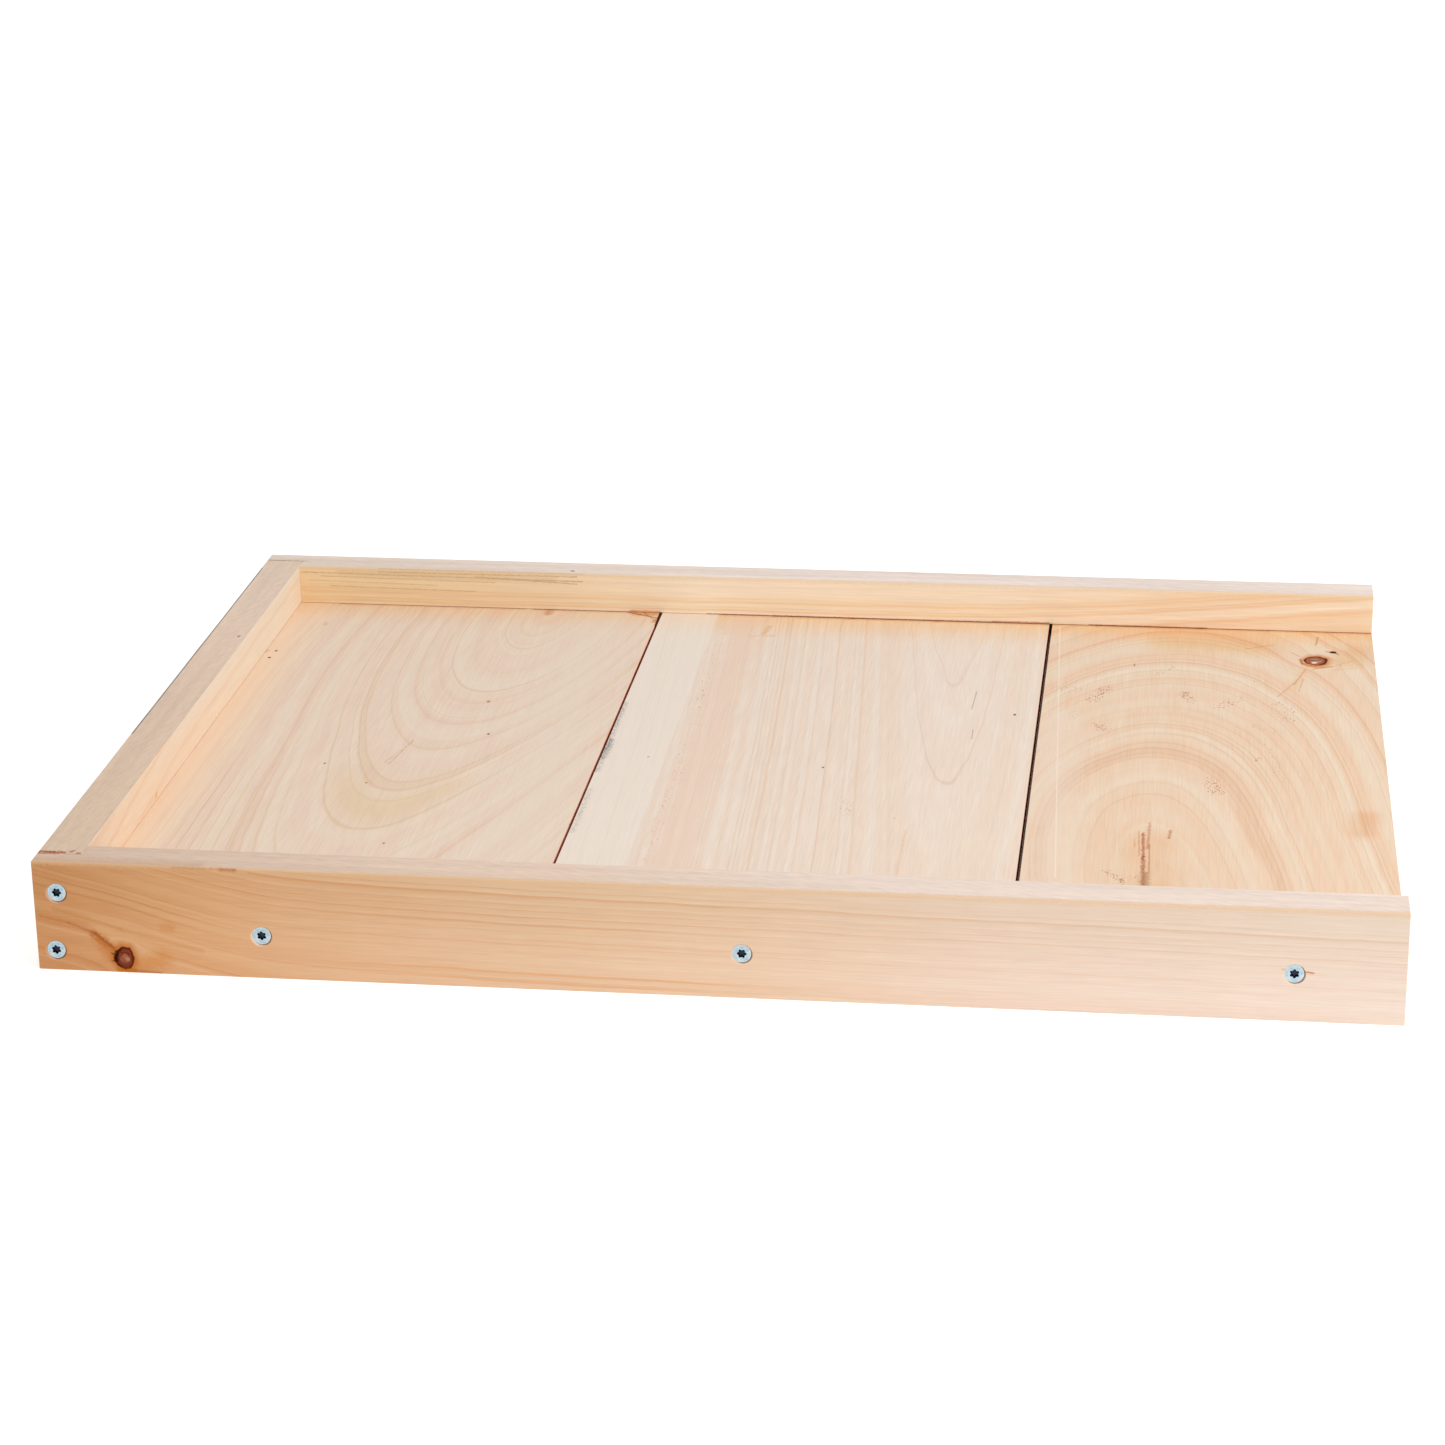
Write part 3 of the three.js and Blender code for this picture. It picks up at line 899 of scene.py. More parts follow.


# Where the screws sit, and how strong the pale side, pressed wood with painted light, is beside each
head_spots = [(9.9, 34.6, 0.45), (7.9, 8.9, 0.25), (95.5, 18.9, 0.9), (294.0, 19.6, 0.6),
              (514.7, 20.6, 0.5)]


def bruises_and_painted_shading(face):
    """The pale side of the wood round each screw on a rail's outer face, pressed in and with painted light
    on it, and painted shade on the other side.
    """
    marks = []
    for x, z, strength in head_spots:
        pale, shaded = (x - 0.5, face, z - 0.6), (x + 0.38, face, z - 0.15)
        marks += [Stroke(pale, pale, 4.6, "#fbe6d0", strength, 0.72, ragged=0.08),
                  Stroke(shaded, shaded, 4.3, "#4a2814", 0.7, 0.9, ragged=0.05)]
    return marks


# %% Right rail
right_rail_marks = [
    # Tints and the arris, then resin round the knot, the knot and its cracks
    wash((0, 51), (559, 51), 44.0, "#f4f3ee"),
    Stroke((0, 0.5, rail_top), (559, 0.5, rail_top), 2.2, "#e8c39a", 0.55, 0.2),
    Stroke((0, 3, 49), (70, 3, 49), 5.0, "#c99a72", 0.35), Stroke((46, 12), (28, 19), 8.0, "#e9bc8e", 0.5),
    Stroke((31, 7), (27, 14), 5.0, "#d0782a", 0.55), Stroke((33, 10), (24, 17), 3.0, "#b9661f", 0.65),
    Stroke((33, 10.5), (25, 17.2), 1.0, "#8f4a18", 0.55, ragged=0.6),
    Stroke((25, 17.2), (14, 21.4), 1.2, "#ad6226", 0.45, ragged=0.5),
    Stroke((14, 21.4), (2, 24.0), 1.4, "#bd7436", 0.4, ragged=0.4),
    Stroke((42, 3), (54, 7), 6.0, "#dc8f42", 0.5),
    Stroke((8, 27.5), (36, 19.5), 1.4, "#cb854a", 0.45, ragged=0.4),
    Stroke((36, 19.5), (70, 11), 1.6, "#d3925a", 0.4, ragged=0.4),
    Stroke((40, 1.0), (52, 0.2), 1.2, "#a8642a", 0.5),
    Knot((37.0, 6.2), 4.3, 6.0, "#bb7d60", "#8d442c", "#662817", "#c8701e", 2.4, (1.02, 1, 0.84)),
    Stroke((34, 1.2), (41, 0.8), 1.7, "#c8741f", 0.6),
    *several(Stroke, ragged=0.9, rows=[
        ((33.5, 8.6), (33.4, 5.2), 1.4, "#1a0b06", 0.85, 0.2),
        ((33.9, 9.6), (35.6, 10.3), 0.8, "#2a1008", 0.8), ((31.4, 8.4), (33.6, 7.6), 0.5, "#2a1008", 0.8),
        ((31.8, 4.9), (33.6, 5.6), 0.5, "#3a180c", 0.7), ((34.2, 3.4), (37.0, 1.9), 0.8, "#4a1c0c", 0.6),
        ((35.4, 8.9), (38.8, 8.5), 0.55, "#5a2214", 0.7), ((40.0, 8.0), (40.1, 4.6), 0.55, "#5f2416", 0.6),
        ((35.8, 6.4), (37.0, 4.4), 0.5, "#4f1e12", 0.6),
    ]),
    # A pale spot in the knot, flecks, and the torn upper edge at the rear corner
    Stroke((38.2, 6.2), (38.6, 6.0), 1.5, "#c99078", 0.8, ragged=0.8),
    Stroke((518.6, 21.7), (522.2, 21.3), 0.6, "#d0803c", 0.85, 0.2),
    Stroke((510, 22.4), (511, 22.2), 0.7, "#d9965c", 0.6),
    Stroke((60, 48.0), (86, 48.0), 1.3, "#b5642f", 0.38, broken=0.6),
    Stroke((80, 47.8), (86, 47.8), 1.6, "#b0623a", 0.45), Stroke((55, 21), (57, 21.2), 4.2, "#d2874a", 0.4),
    Stroke((0.4, 9.0, rail_top), (9, 9.1, rail_top), 1.2, "#c07840", 0.8, ragged=0.9),
    Stroke((12, 9.2, rail_top), (19, 9.2, rail_top), 0.7, "#b98454", 0.6, ragged=0.9),
    *bruises_and_painted_shading(0.0),
]
right_rail = Board(
    along="X", across="Y", depth="Z", surface=right_face_spot, shift="Z",
    pith=Pith(95, 25, (26, 0.0, 0.0), (-55, -0.1475, 0.1325)),
    rings=Rings(width=2.9, uneven=0.35, wander=1.0, faintest=0.05, swell=0.45, pale=0.1, seed=41),
    # The stops grow paler towards the front end: partly the wood's own colour, partly painted light from
    # the window's side.
    stops=(
        (10, "#dca474", "#d28e5c", "#d69a69"),
        (55, "#e8b688", "#de9d6b", "#e4ae7e"),
        (110, "#eec39c", "#e3a97b", "#eabb93"),
        (190, "#f0ceae", "#e5b289", "#edc7a4"),
        (280, "#f3d6bb", "#eabe9b", "#f1d0b4"),
        (400, "#f3dfd0", "#ecccb5", "#f2d9ca"),
        (550, "#f1e1d6", "#eaceba", "#efdccf"),
    ),
    bands=several(Band, [
        (92.2, 0.9, "#e0a676", 0.5, (190, 29), 120), (71.4, 0.8, "#e8a870", 0.6, (220, 7), 120),
        (67.9, 1.0, "#e8a46a", 0.5, (215, 3), 100), (85.6, 0.8, "#e6b086", 0.35, (250, 22), 110),
        (74.4, 0.7, "#c67f48", 0.4, (28, 34), 62), (78.2, 0.9, "#c87f47", 0.42, (30, 38), 66),
        (82.4, 0.7, "#c98550", 0.36, (34, 42), 66),
    ]),
    # The upper edge's stops grow paler towards the front end too, partly painted light.
    top=((65, "#edd9cd"), (210, "#f7e2d7"), (350, "#f9eae5"), (500, "#faebe6")),
    paint=right_rail_marks,
)
pine["side_rail_right"] = planed_pine("pine_planed_right_rail", right_rail)

# %% Left rail
left_rail_marks = [
    # Pitch along the rear half, painted shade in the line just over the floor, and marks on the upper edge
    *several(Stroke, broken=0.4, rows=[
        ((20, 45.4), (165, 44.4), 0.6, "#bb9264", 0.7), ((30, 43.6), (120, 42.6), 0.5, "#c39a64", 0.6),
        ((60, 46.6), (162, 46.8), 0.7, "#b0885c", 0.6), ((35, 38.5), (110, 37.5), 0.5, "#c69c68", 0.6),
        ((24, 41.2), (90, 40.2), 0.5, "#c9a070", 0.5),
    ]),
    Stroke((110, 45.4), (162, 43.0), 0.6, "#bd8a58", 0.65, broken=0.3),
    Stroke((40, 46), (150, 45), 3.5, "#d9bb92", 0.4), Stroke((189, 29.6), (204, 29.6), 0.9, "#d38c4e", 0.6),
    Stroke((228, 29.3), (300, 29.3), 0.5, "#96481c", 0.8),
    Stroke((300, 29.3), (374, 29.3), 0.45, "#9c4e22", 0.8),
    Stroke((372, 29.5), (400, 29.5), 0.8, "#b0662e", 0.75),
    Stroke((420, 29.3), (478, 29.3), 0.5, "#96481c", 0.8),
    Stroke((158.8, 399, rail_top), (159.4, 399, rail_top), 1.2, "#6a3a26", 0.9, 0.3),
    Stroke((20, 394.6, rail_top), (559, 394.6, rail_top), 2.2, "#efd3ad", 0.6, 0.2),
    Stroke((60, 394.2, rail_top), (165, 394.2, rail_top), 0.7, "#a08060", 0.5, broken=0.5),
    Stroke((1, 403.6, rail_top), (22, 402.8, rail_top), 0.8, "#a47c54", 0.65, ragged=0.9, broken=0.4),
    *bruises_and_painted_shading(board_width),
]
left_rail = Board(
    along="X", across="Y", depth="Z", surface=left_inner_spot, shift="Z",
    pith=Pith(400, 40, (424, 0.0, 0.0), (-60, 0.05, 0.05)),
    rings=Rings(width=4.8, uneven=0.35, wander=0.8, faintest=0.0, swell=0.45, pale=0.2, seed=53),
    # The stops are darker towards the rear corner: partly the wood's own colour, partly painted shade from
    # the corner and the window's falloff.
    stops=(
        (40, "#f2dbb5", "#e9ca9f", "#efd3ab"),
        (120, "#f3dcbb", "#ebcda5", "#f1d5b0"),
        (230, "#fbead5", "#f4dbbb", "#f9e4c7"),
        (420, "#f7e5d0", "#f0d4b6", "#f5ddc0"),
        (550, "#f2ddc4", "#ebcba9", "#f0d4b2"),
    ),
    bands=several(Band, [
        (94.2, 1.5, "#faead6", 0.85, (500, 37), 110), (91.5, 1.2, "#efc298", 0.6),
        (97.8, 1.0, "#eec293", 0.5), (102.0, 0.9, "#eec296", 0.4),
    ]),
    # The upper edge's stops grow a little paler away from the rear end, partly painted light from the
    # window's side.
    top=((65, "#f1e2da"), (210, "#f8e9e2"), (350, "#f7e9e5"), (500, "#f5e9e6")),
    paint=left_rail_marks,
)
pine["side_rail_left"] = planed_pine("pine_planed_left_rail", left_rail)

# %% Rear rail
rear_rail_marks = [
    # Flecks, the torn end at the near corner, and painted shade along the outer arris
    Stroke((118, 31), (120, 31.6), 1.5, "#e3a861", 0.75, 0.2),
    Stroke((0.4, 10.8, rail_top), (11, 10.6, rail_top), 2.0, "#ae4f1c", 0.9, 0.3, ragged=0.9, broken=0.4),
    Stroke((1.0, 10.8, rail_top), (7, 10.8, rail_top), 1.0, "#5a220c", 0.8, ragged=0.9, broken=0.5),
    Stroke((13.6, 11.6, rail_top), (14.4, 13.0, rail_top), 1.2, "#a8541f", 0.85, ragged=0.8),
    Stroke((16.6, 10.6, rail_top), (17.6, 10.4, rail_top), 1.1, "#8f4a24", 0.85, ragged=0.8),
    Stroke((15, 284, rail_top), (15.3, 285.5, rail_top), 1.2, "#8a6a54", 0.8, ragged=0.5),
    Stroke((1, 402.6, rail_top), (18, 402.6, rail_top), 0.8, "#a47c54", 0.6, ragged=0.9, broken=0.5),
    Stroke((0.0, 150, rail_top), (0.0, 390, rail_top), 1.2, "#76706e", 0.8, 0.5, ragged=0.2),
]
rear_rail = Board(
    along="Y", across="X", depth="Z", surface=rear_inner_spot, shift="Z",
    pith=Pith(160, 30, (-60, 0.02, 0.0), (-20, 0.045, -0.055)),
    rings=Rings(width=2.8, uneven=0.3, wander=0.8, faintest=0.0, swell=0.4, pale=0.2, seed=67),
    stops=(
        (100, "#eedac4", "#e8c7a9", "#eed3bb"),
        (210, "#efdfce", "#e9cdb2", "#efd9c4"),
        (340, "#efe3d3", "#e9d0b6", "#efddc9"),
    ),
    top=((60, "#e3cbb6"), (200, "#e7cebb"), (350, "#efd8c6")),
    paint=rear_rail_marks,
)
pine["rear_rail"] = planed_pine("pine_planed_rear_rail", rear_rail)

# %% [markdown]
# Boards from the bench
#
# A board is the same section all along, but its arrises are not lines. A few strokes of a sanding
# block round them by a few tenths of a millimetre, more here and less there. A bevel on a box would
# round them all alike. Here the board is a loft: sections every few millimetres, each corner with
# its own small radius, which wanders on the way. The sawn ends draw in along a quarter circle.

# %% Sections, and a skin over them
arris_steps = 3
Corner = namedtuple("Corner", "u v radius")


def drawn_in(corners, pull):
    """A section made smaller by the same distance all round."""
    made = []
    for i, here in enumerate(corners):
        before, after = corners[i - 1], corners[(i + 1) % len(corners)]
        edges = [Vector((here.u - before.u, here.v - before.v)).normalized(),
                 Vector((after.u - here.u, after.v - here.v)).normalized()]
        inward = [Vector((-edge.y, edge.x)) for edge in edges]
        both = inward[0] + inward[1]
        step = both * (pull / (1 + inward[0].dot(inward[1])))
        made.append(Corner(here.u + step.x, here.v + step.y, max(here.radius - pull, 0.02)
                           if here.radius else 0))
    return made


def outline(corners):
    """The points of a section: an arc at each corner with a radius, one point at the others."""
    points = []
    for i, here in enumerate(corners):
        middle = Vector((here.u, here.v))
        if not here.radius:
            points.append(middle)
            continue
        before, after = corners[i - 1], corners[(i + 1) % len(corners)]
        back = (Vector((before.u, before.v)) - middle).normalized()
        on = (Vector((after.u, after.v)) - middle).normalized()
        for step in range(arris_steps + 1):
            angle = step / arris_steps * math.pi / 2
            points.append(middle + back * here.radius * (1 - math.sin(angle))
                          + on * here.radius * (1 - math.cos(angle)))
    return points


def skin(name, rings):
    """A closed mesh over rings that all have the same number of points, in mm."""
    mesh_work = bmesh.new()
    loops = [[mesh_work.verts.new(Vector(point) * mm) for point in ring] for ring in rings]
    for low, high in zip(loops, loops[1:]):
        for i in range(len(low)):
            j = (i + 1) % len(low)
            mesh_work.faces.new((low[i], low[j], high[j], high[i]))
    ends = [mesh_work.faces.new(loops[0]), mesh_work.faces.new(loops[-1])]
    mesh_work.normal_update()
    bmesh.ops.triangulate(mesh_work, faces=ends)
    bmesh.ops.recalc_face_normals(mesh_work, faces=mesh_work.faces)
    mesh = bpy.data.meshes.new(name)
    mesh_work.to_mesh(mesh)
    mesh_work.free()
    return placed(name, mesh)


# %% Stations along a board, and arrises that wander
station_step = 5.0
end_arris = 0.35
wear_length, wear_share, wear_apart = 40, 0.5, 7.3


def stations(start, end):
    """Places along a board with how far its section is drawn in there."""
    ease = [(end_arris * (1 - math.cos(a)), end_arris * (1 - math.sin(a)))
            for a in (0, math.pi / 6, math.pi / 3)]
    count = round((end - start - 2 * end_arris) / station_step)
    inner = [start + end_arris + (end - start - 2 * end_arris) * i / count
             for i in range(count + 1)]
    return ([(start + run, pull) for run, pull in ease] + [(at, 0.0) for at in inner]
            + [(end - run, pull) for run, pull in reversed(ease)])


def worn(radius, at, key):
    """A sanded arris, whose radius wanders on its own way along the board."""
    return radius * (1 + wear_share * noise.noise(Vector((at / wear_length, key * wear_apart, 0.5))))


def board_solid(name, section_at, start, end, along):
    """A board lofted along X or Y. section_at gives its corners at a station."""
    rings = []
    for at, pull in stations(start, end):
        corners = [Corner(c.u, c.v, worn(c.radius, at, k) if c.radius else 0)
                   for k, c in enumerate(section_at(at))]
        points = outline(drawn_in(corners, pull) if pull else corners)
        rings.append([(at, p.x, p.y) if along == "X" else (p.x, at, p.y) for p in points])
    return skin(name, rings)


# %% [markdown]
# Screw holes
#
# Each screw's place is read from its solid in the frame. The hole is bored a little wider than the
# thread's crest, and its mouth is the cone that the head pressed into the soft wood, with a
# bruised, rounded lip. All holes are cut in one exact boolean for each board.

# %% Where the screws are
Place = namedtuple("Place", "name x z side face")
head_radius = 3.85
crest_radius = 1.84
bore_radius = 1.9
head_sink = 0.2
head_rim = 0.4
screw_length = 40.0
borer_facets = 40
crisp_from = math.radians(50)


def screw_place(name):
    """The axis, side and outer face of one screw, from its solid."""
    low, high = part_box(name)
    side = 1 if low.y > 0 else -1
    face = left_face if side > 0 else right_face
    return Place(name, (low.x + high.x) / 2 / mm, (low.z + high.z) / 2 / mm, side, face)


screw_places = [screw_place(name) for name in sorted(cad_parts) if name.startswith("screw_")]
print(len(screw_places), "screws, the first at",
      [round(value, 1) for value in screw_places[0][1:]])

# %% Borers, cuts and finished boards
def borer(place):
    """A cutter of a screw hole's shape, which starts outside the face."""
    seat = head_sink + head_rim
    # Depth and radius: outside the face, the lip, the head's seat, the bore and its end
    profile = [(-2.0, head_radius + 0.75), (0.0, head_radius + 0.5), (0.18, head_radius + 0.16),
               (seat, head_radius + 0.08), (seat + head_radius - 1.6, bore_radius),
               (screw_length - 5.0, bore_radius), (screw_length + 0.6, 0.12)]
    rings = []
    for depth, radius in profile:
        turn = [i / borer_facets * math.tau for i in range(borer_facets)]
        rings.append([(place.x + radius * math.cos(a), place.face - place.side * depth,
                       place.z + radius * math.sin(a)) for a in turn])
    return skin("borer", rings)


def cut_away(piece, cutters):
    """Takes the cutters out of a piece and removes them."""
    for cutter in cutters:
        step = piece.modifiers.new("cut", "BOOLEAN")
        step.operation = "DIFFERENCE"
        step.solver = "EXACT"
        step.object = cutter
    shape = piece.evaluated_get(bpy.context.evaluated_depsgraph_get())
    cut = bpy.data.meshes.new_from_object(shape)
    piece.modifiers.clear()
    piece.data = cut
    for cutter in cutters:
        bpy.data.objects.remove(cutter)
    return piece


def finish_board(piece, node):
    """Smooths the arrises, keeps the faces flat, and puts the board in its solid's place."""
    for face in piece.data.polygons:
        face.use_smooth = True
    piece.data.set_sharp_from_angle(angle=crisp_from)
    weighted = piece.modifiers.new("flat_faces", "WEIGHTED_NORMAL")
    weighted.keep_sharp = True
    piece.data.materials.clear()
    piece.data.materials.append(pine[node])
    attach(piece, "root")
    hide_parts(node)
    low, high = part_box(node)
    size = [(high - low)[i] / mm for i in range(3)]
    print(f"{piece.name}: {len(piece.data.polygons)} faces in the place of a solid "
          f"{size[0]:.1f} x {size[1]:.1f} x {size[2]:.1f} mm")


# %% [markdown]
# The side rails
#
# A rail is planed stock with a groove ploughed along its inner face for the floor, and a rabbet
# across its rear end for the rear rail. The outer arrises were sanded, and the groove's edges were
# left as the cutter made them, because the floor covers them.

# %% Side rails
groove_depth = 9.5
groove_low, groove_high = 9.8, 29.2
rail_thickness = (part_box("rear_rail")[1].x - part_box("rear_rail")[0].x) / mm
sanded = 0.45
barely_sanded = 0.2
cutter_sharp = 0.12
rabbet_depth = 9.5
seat_gap = 0.06


def rail_corners(outer, inner):
    """A rail's section, anticlockwise, from its outer and inner faces."""
    back = inner + math.copysign(groove_depth, outer - inner)
    corners = [
        Corner(outer, underside, barely_sanded), Corner(inner, underside, barely_sanded),
        Corner(inner, groove_low, cutter_sharp), Corner(back, groove_low, 0),
        Corner(back, groove_high, 0), Corner(inner, groove_high, cutter_sharp),
        Corner(inner, top_face, sanded), Corner(outer, top_face, sanded),
    ]
    return corners if outer < inner else corners[::-1]


def side_rail(node, side):
    """Makes one side rail, with its rabbet and its screw holes."""
    outer = left_face if side > 0 else right_face
    inner = outer - side * rail_thickness
    corners = rail_corners(outer, inner)
    rail = board_solid("planed_" + node, lambda at: corners, rear_end, front_end, "X")
    shoulder = rear_end + rail_thickness + seat_gap
    reach = sorted((inner - side * 5, inner + side * rabbet_depth))
    rabbet = skin("rabbet", [
        [(x, reach[0], -5), (x, reach[1], -5), (x, reach[1], rail_height + 5),
         (x, reach[0], rail_height + 5)] for x in (rear_end - 5, shoulder)
    ])
    holes = [borer(place) for place in screw_places if place.side == side]
    finish_board(cut_away(rail, [rabbet] + holes), node)


for side, node in ((1, "side_rail_left"), (-1, "side_rail_right")):
    side_rail(node, side)

# %% [markdown]
# The rear rail
#
# Its ends sit in the side rails' rabbets. The saw tore the right-hand end's upper arris as it
# came out of the cut, which shows as a ragged brown line on top of the near corner.

# %% Boards across, and the rear rail
def across_board(node, section_at, start, end):
    """Makes a board with its grain from rail to rail and the screw holes that reach it."""
    piece = board_solid("planed_" + node, section_at, start, end, "Y")
    low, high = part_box(node)
    holes = [borer(place) for place in screw_places if low.x < place.x * mm < high.x]
    finish_board(cut_away(piece, holes), node)


low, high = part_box("rear_rail")
rear_corners = rail_corners(low.x / mm, high.x / mm)
across_board("rear_rail", lambda at: rear_corners, low.y / mm, high.y / mm)

# %% [markdown]
# The floor boards
#
# The boards meet in tongues and grooves and stand a little apart, as dry boards do. The two
# joints are not quite square to the rails. Where a board's edge shows, its arris is hardly
# sanded at all, so the joints stay crisp, dark lines.

# %% Floor boards
floor_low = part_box("floor_board_rear")[0].z / mm
tongue_half = 3.2
tongue_length = 6.0
tongue_chamfer = 0.8
tongue_play = 0.2
joint_arris = 0.15
joint_skews = {"first": 2.0, "second": 0.7}
floor_middle = (floor_low + floor_top) / 2


def floor_section(rear, front, rear_skew, front_skew, grooved, tongued):
    """Gives a function from a station to a floor board's corners there."""
    half, mouth = tongue_half, tongue_half + tongue_play
    shoulder = tongue_length - tongue_chamfer
    # How far out and how high each corner is, from the middle of the edge
    tongue = [(0, -half), (shoulder, -half), (tongue_length, tongue_chamfer - half),
              (tongue_length, half - tongue_chamfer), (shoulder, half), (0, half)]
    groove = [(0, mouth), (tongue_length, mouth), (tongue_length, -mouth), (0, -mouth)]

    def corners(at):
        back = rear - rear_skew * at / board_width
        fore = front - front_skew * at / board_width
        return [Corner(back, floor_low, joint_arris), Corner(fore, floor_low, joint_arris),
                *[Corner(fore + out, floor_middle + up, 0) for out, up in tongue if tongued],
                Corner(fore, floor_top, joint_arris), Corner(back, floor_top, joint_arris),
                *[Corner(back + out, floor_middle + up, 0) for out, up in groove if grooved]]
    return corners


# The boards' edges at the middle of the joints, from the solids' boxes
half_skew = {name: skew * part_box("floor_board_rear")[1].y / mm / board_width
             for name, skew in joint_skews.items()}
edges = {name: [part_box("floor_board_" + name)[i].x / mm for i in (0, 1)]
         for name in ("rear", "middle", "front")}
floor_facts = {
    "rear": (edges["rear"][0], edges["rear"][1] - tongue_length - half_skew["first"],
             0.0, joint_skews["first"], False, True),
    "middle": (edges["middle"][0] + half_skew["first"],
               edges["middle"][1] - tongue_length - half_skew["second"],
               joint_skews["first"], joint_skews["second"], True, True),
    "front": (edges["front"][0] + half_skew["second"], edges["front"][1],
              joint_skews["second"], 0.0, True, False),
}
for name, facts in floor_facts.items():
    node = "floor_board_" + name
    low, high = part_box(node)
    across_board(node, floor_section(*facts), low.y / mm, high.y / mm)

# %% [markdown]
# The screws
#
# They are countersunk wood screws of cold-headed steel, plated with zinc. The head has a
# six-lobed drive, pressed in with a slight taper. Under a smooth neck, a rolled thread winds
# down to a sharp point. The whole screw is one skin over rings: the rings are lobed in the drive,
# round on the head, and carry a moving ridge along the thread, which makes it a helix.

# %% Sizes of a screw
ring_points = 48
lobes = 6
lobe_middle = 1.675
lobe_swing = 0.275
drive_depth = 1.8
neck_end = 13.0
thread_pitch = 2.4
root_radius = 1.25
steps_per_turn = 9
point_length = 6.0
ridge_half = 0.26
root_fillet = 0.06


# %% Its rings
def ring(depth, radius_at):
    """A ring about the screw's axis, whose radius depends on the angle."""
    turns = [i / ring_points * math.tau for i in range(ring_points)]
    return [(radius_at(a) * math.cos(a), depth, radius_at(a) * math.sin(a)) for a in turns]


def lobed(spare):
    """The outline of the six-lobed drive, wider by a spare distance."""
    return lambda angle: lobe_middle + spare + lobe_swing * math.cos(lobes * angle)


def threaded(depth):
    """The thread's radius at a depth, for any angle."""
    taper = min(1.0, max(0.0, (screw_length + head_sink - depth) / point_length))
    start = min(1.0, (depth - neck_end) / thread_pitch)

    def radius(angle):
        share = (depth / thread_pitch - angle / math.tau) % 1.0
        ridge = max(0.0, 1 - abs(share - 0.5) / ridge_half)
        crest = start * (crest_radius - root_radius - root_fillet) * ridge * (0.35 + 0.65 * taper)
        return taper * root_radius + root_fillet + crest
    return radius


# %% One screw, shared by ten places
# Depth and outline of the drive's rings, then depth and radius of the head's and the neck's
head_rings = [(head_sink + drive_depth + 0.25, lambda a: 0.25),
              (head_sink + drive_depth, lobed(-0.35)), (head_sink + drive_depth - 0.1, lobed(-0.1)),
              (head_sink + 0.22, lobed(0.0)), (head_sink + 0.04, lobed(0.1)),
              (head_sink, lobed(0.22))]
head_profile = [(0.0, 2.6), (0.0, 3.5), (0.015, 3.72), (0.08, 3.9), (0.2, 4.0), (head_rim, 4.0),
                (head_rim + 0.25, 3.82), (head_rim + 2.2, 1.86), (head_rim + 2.9, 1.62),
                (neck_end - 0.4, 1.6), (neck_end - 0.05, root_radius + root_fillet)]
screw_rings = [ring(depth, radius_at) for depth, radius_at in head_rings]
screw_rings += [ring(head_sink + depth, lambda a, r=radius: r) for depth, radius in head_profile]
thread_step = thread_pitch / steps_per_turn
thread_count = int((screw_length + head_sink - 0.15 - neck_end) / thread_step)
screw_rings += [ring(neck_end + head_sink + i * thread_step,
                     threaded(neck_end + head_sink + i * thread_step))
                for i in range(thread_count)]
pattern_screw = skin("pattern_screw", screw_rings)
for face in pattern_screw.data.polygons:
    face.use_smooth = True
pattern_screw.data.set_sharp_from_angle(angle=math.radians(38))
print(f"screw: {len(screw_rings)} rings, {len(pattern_screw.data.polygons)} faces")

# %% [markdown]
# Bright zinc
# Electroplated zinc with a clear blue passivation is a metal with a faint blue cast. The
# crystals are too small to see, but the bath leaves cloudy patches where the film is thinner. So the
# colour drifts a little between blue-grey and a warmer grey, and the roughness drifts with it. The
# head's rounded rim gets a painted highlight, and the bottom of the drive gets painted shade.

# %% Zinc, barrel plated
recess_reach = 2.15
rim_from = 3.2

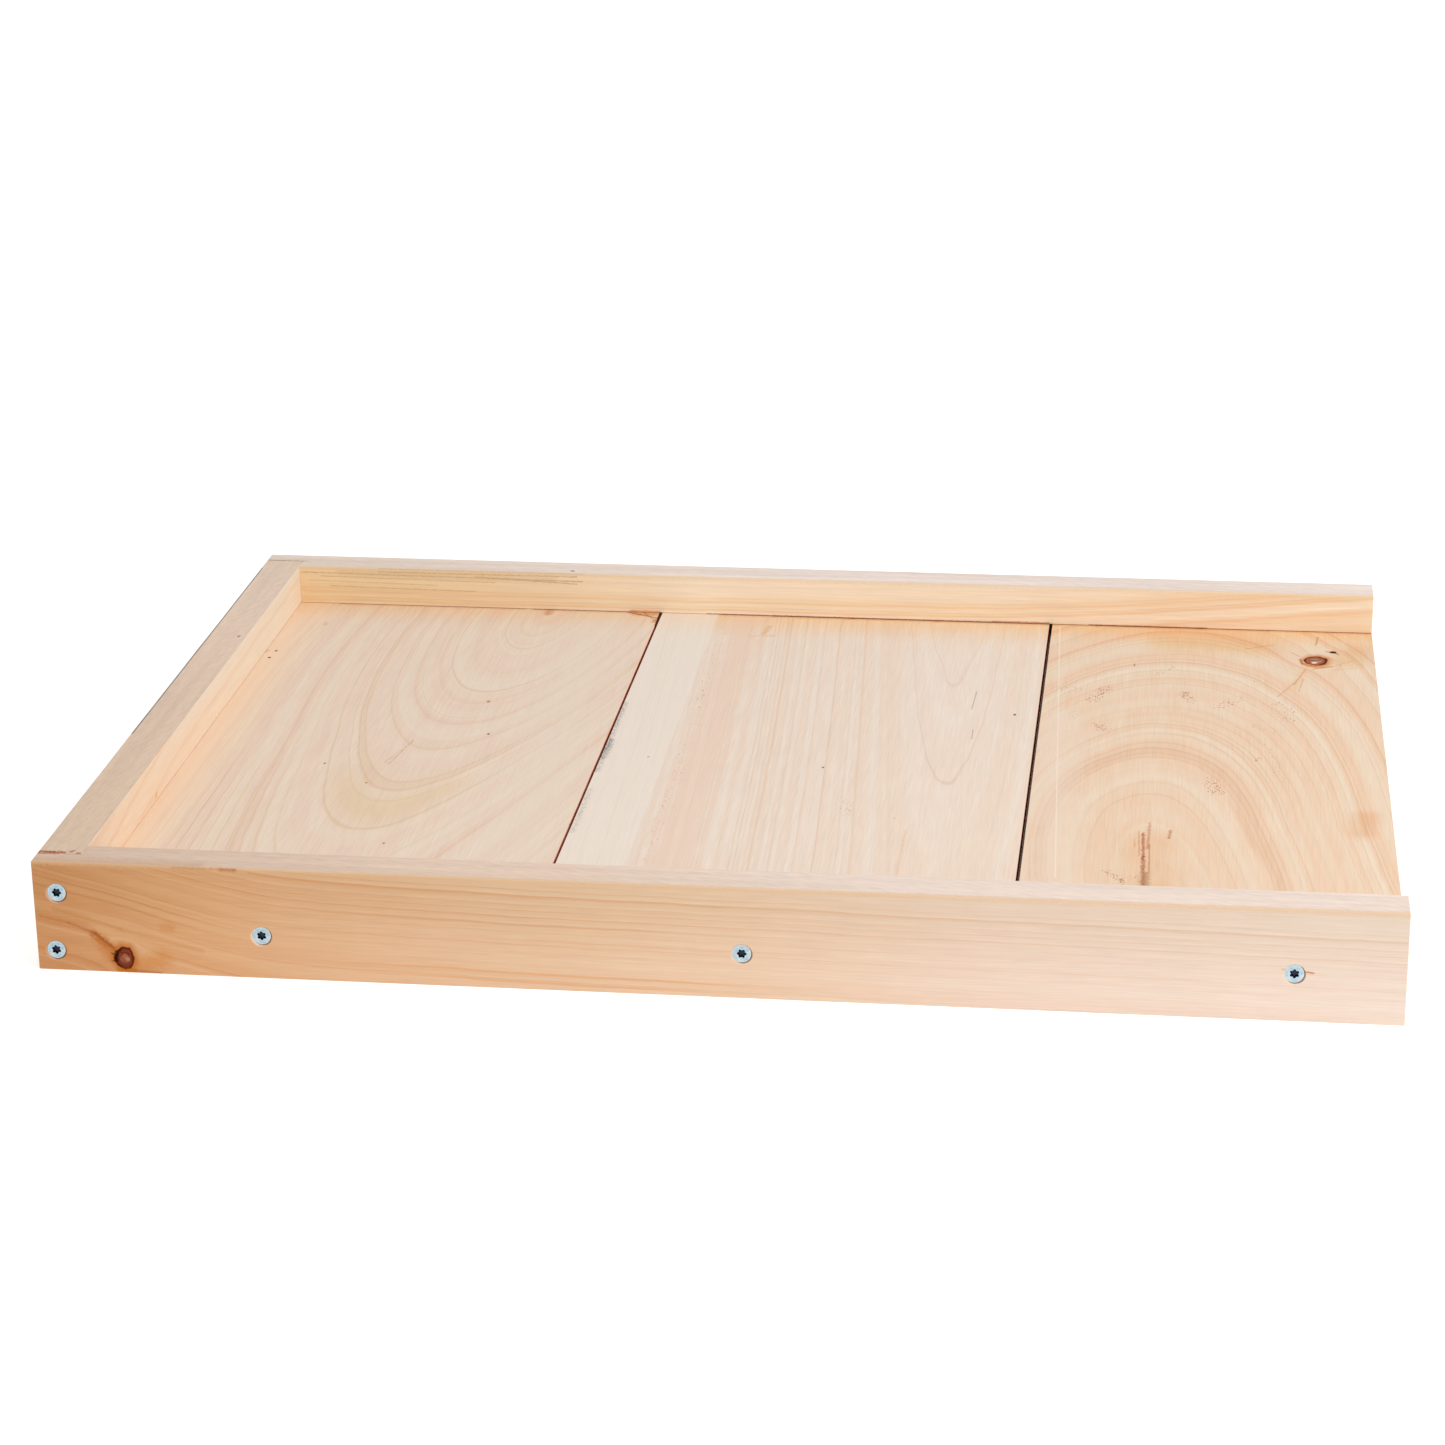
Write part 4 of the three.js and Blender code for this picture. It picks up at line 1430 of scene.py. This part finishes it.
zinc, add = blank("zinc_blue_passivated_barrel_plated", bpy.data.materials)
spot = add("TexCoord", output="Object")
spot = add("VectorMath SCALE", {0: spot, "Scale": 1 / mm})
patches = add("TexNoise", {"Vector": spot, "Scale": 0.55, "Detail": 3.0})
pits = add("TexNoise", {"Vector": spot, "Scale": 6.0, "Detail": 4.0})
film = add("MapRange", patches, 0.35, 0.65)
film_colour = add("Mix", film, linear("#97b1c3"), linear("#b4c6cf"), **PAINT)

# A painted highlight on the head's rounded rim, and painted shade in the drive, darker the deeper it lies
sunk = add("SeparateXYZ", spot, output="Y")
flat_spot = add("VectorMath MULTIPLY", spot, (1, 0, 1))
from_axis = add("VectorMath LENGTH", flat_spot, output="Value")
rim_highlight = add("MapRange", from_axis, rim_from, head_radius - 0.1, 0.0, 0.75, **SOFT)
film_colour = add("Mix", rim_highlight, film_colour, linear("#c3ccce"), **PAINT)
in_drive = add("Math LESS_THAN", from_axis, recess_reach)
deep = add("MapRange", sunk, head_sink + 0.03, head_sink + 0.5, 0.0, 0.95)
drive_shade = add("Math MULTIPLY", in_drive, deep)
film_colour = add("Mix", drive_shade, film_colour, linear("#1c2433"), **PAINT)
dull = add("MapRange", patches, 0.3, 0.7, 0.42, 0.28)
bump = add("Bump", {"Height": pits, "Distance": 0.01 * mm, "Strength": 1.0})
metal = add("BsdfPrincipled", {
    "Base Color": film_colour, "Metallic": 1.0, "Roughness": dull, "Normal": bump,
})
add("OutputMaterial", {"Surface": metal}, output=())
pattern_screw.data.materials.append(zinc)

# %% Ten screws, each turned by its own amount
driver_turns = random.Random(7)
for place in screw_places:
    screw = placed("zinc_" + place.name, pattern_screw.data)
    spin = Matrix.Rotation(driver_turns.uniform(0, math.tau / lobes), 4, "Y")
    into = Matrix.Rotation(math.pi if place.side > 0 else 0.0, 4, "Z")
    at = Matrix.Translation(Vector((place.x, place.face, place.z)) * mm)
    screw.matrix_world = at @ into @ spin
    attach(screw, "root")
    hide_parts(place.name)
bpy.data.objects.remove(pattern_screw)
print(len(screw_places), "screws driven")

# %% The frame's size, in mm
print("frame", [[round(value / mm, 2) for value in corner] for corner in cad_box])
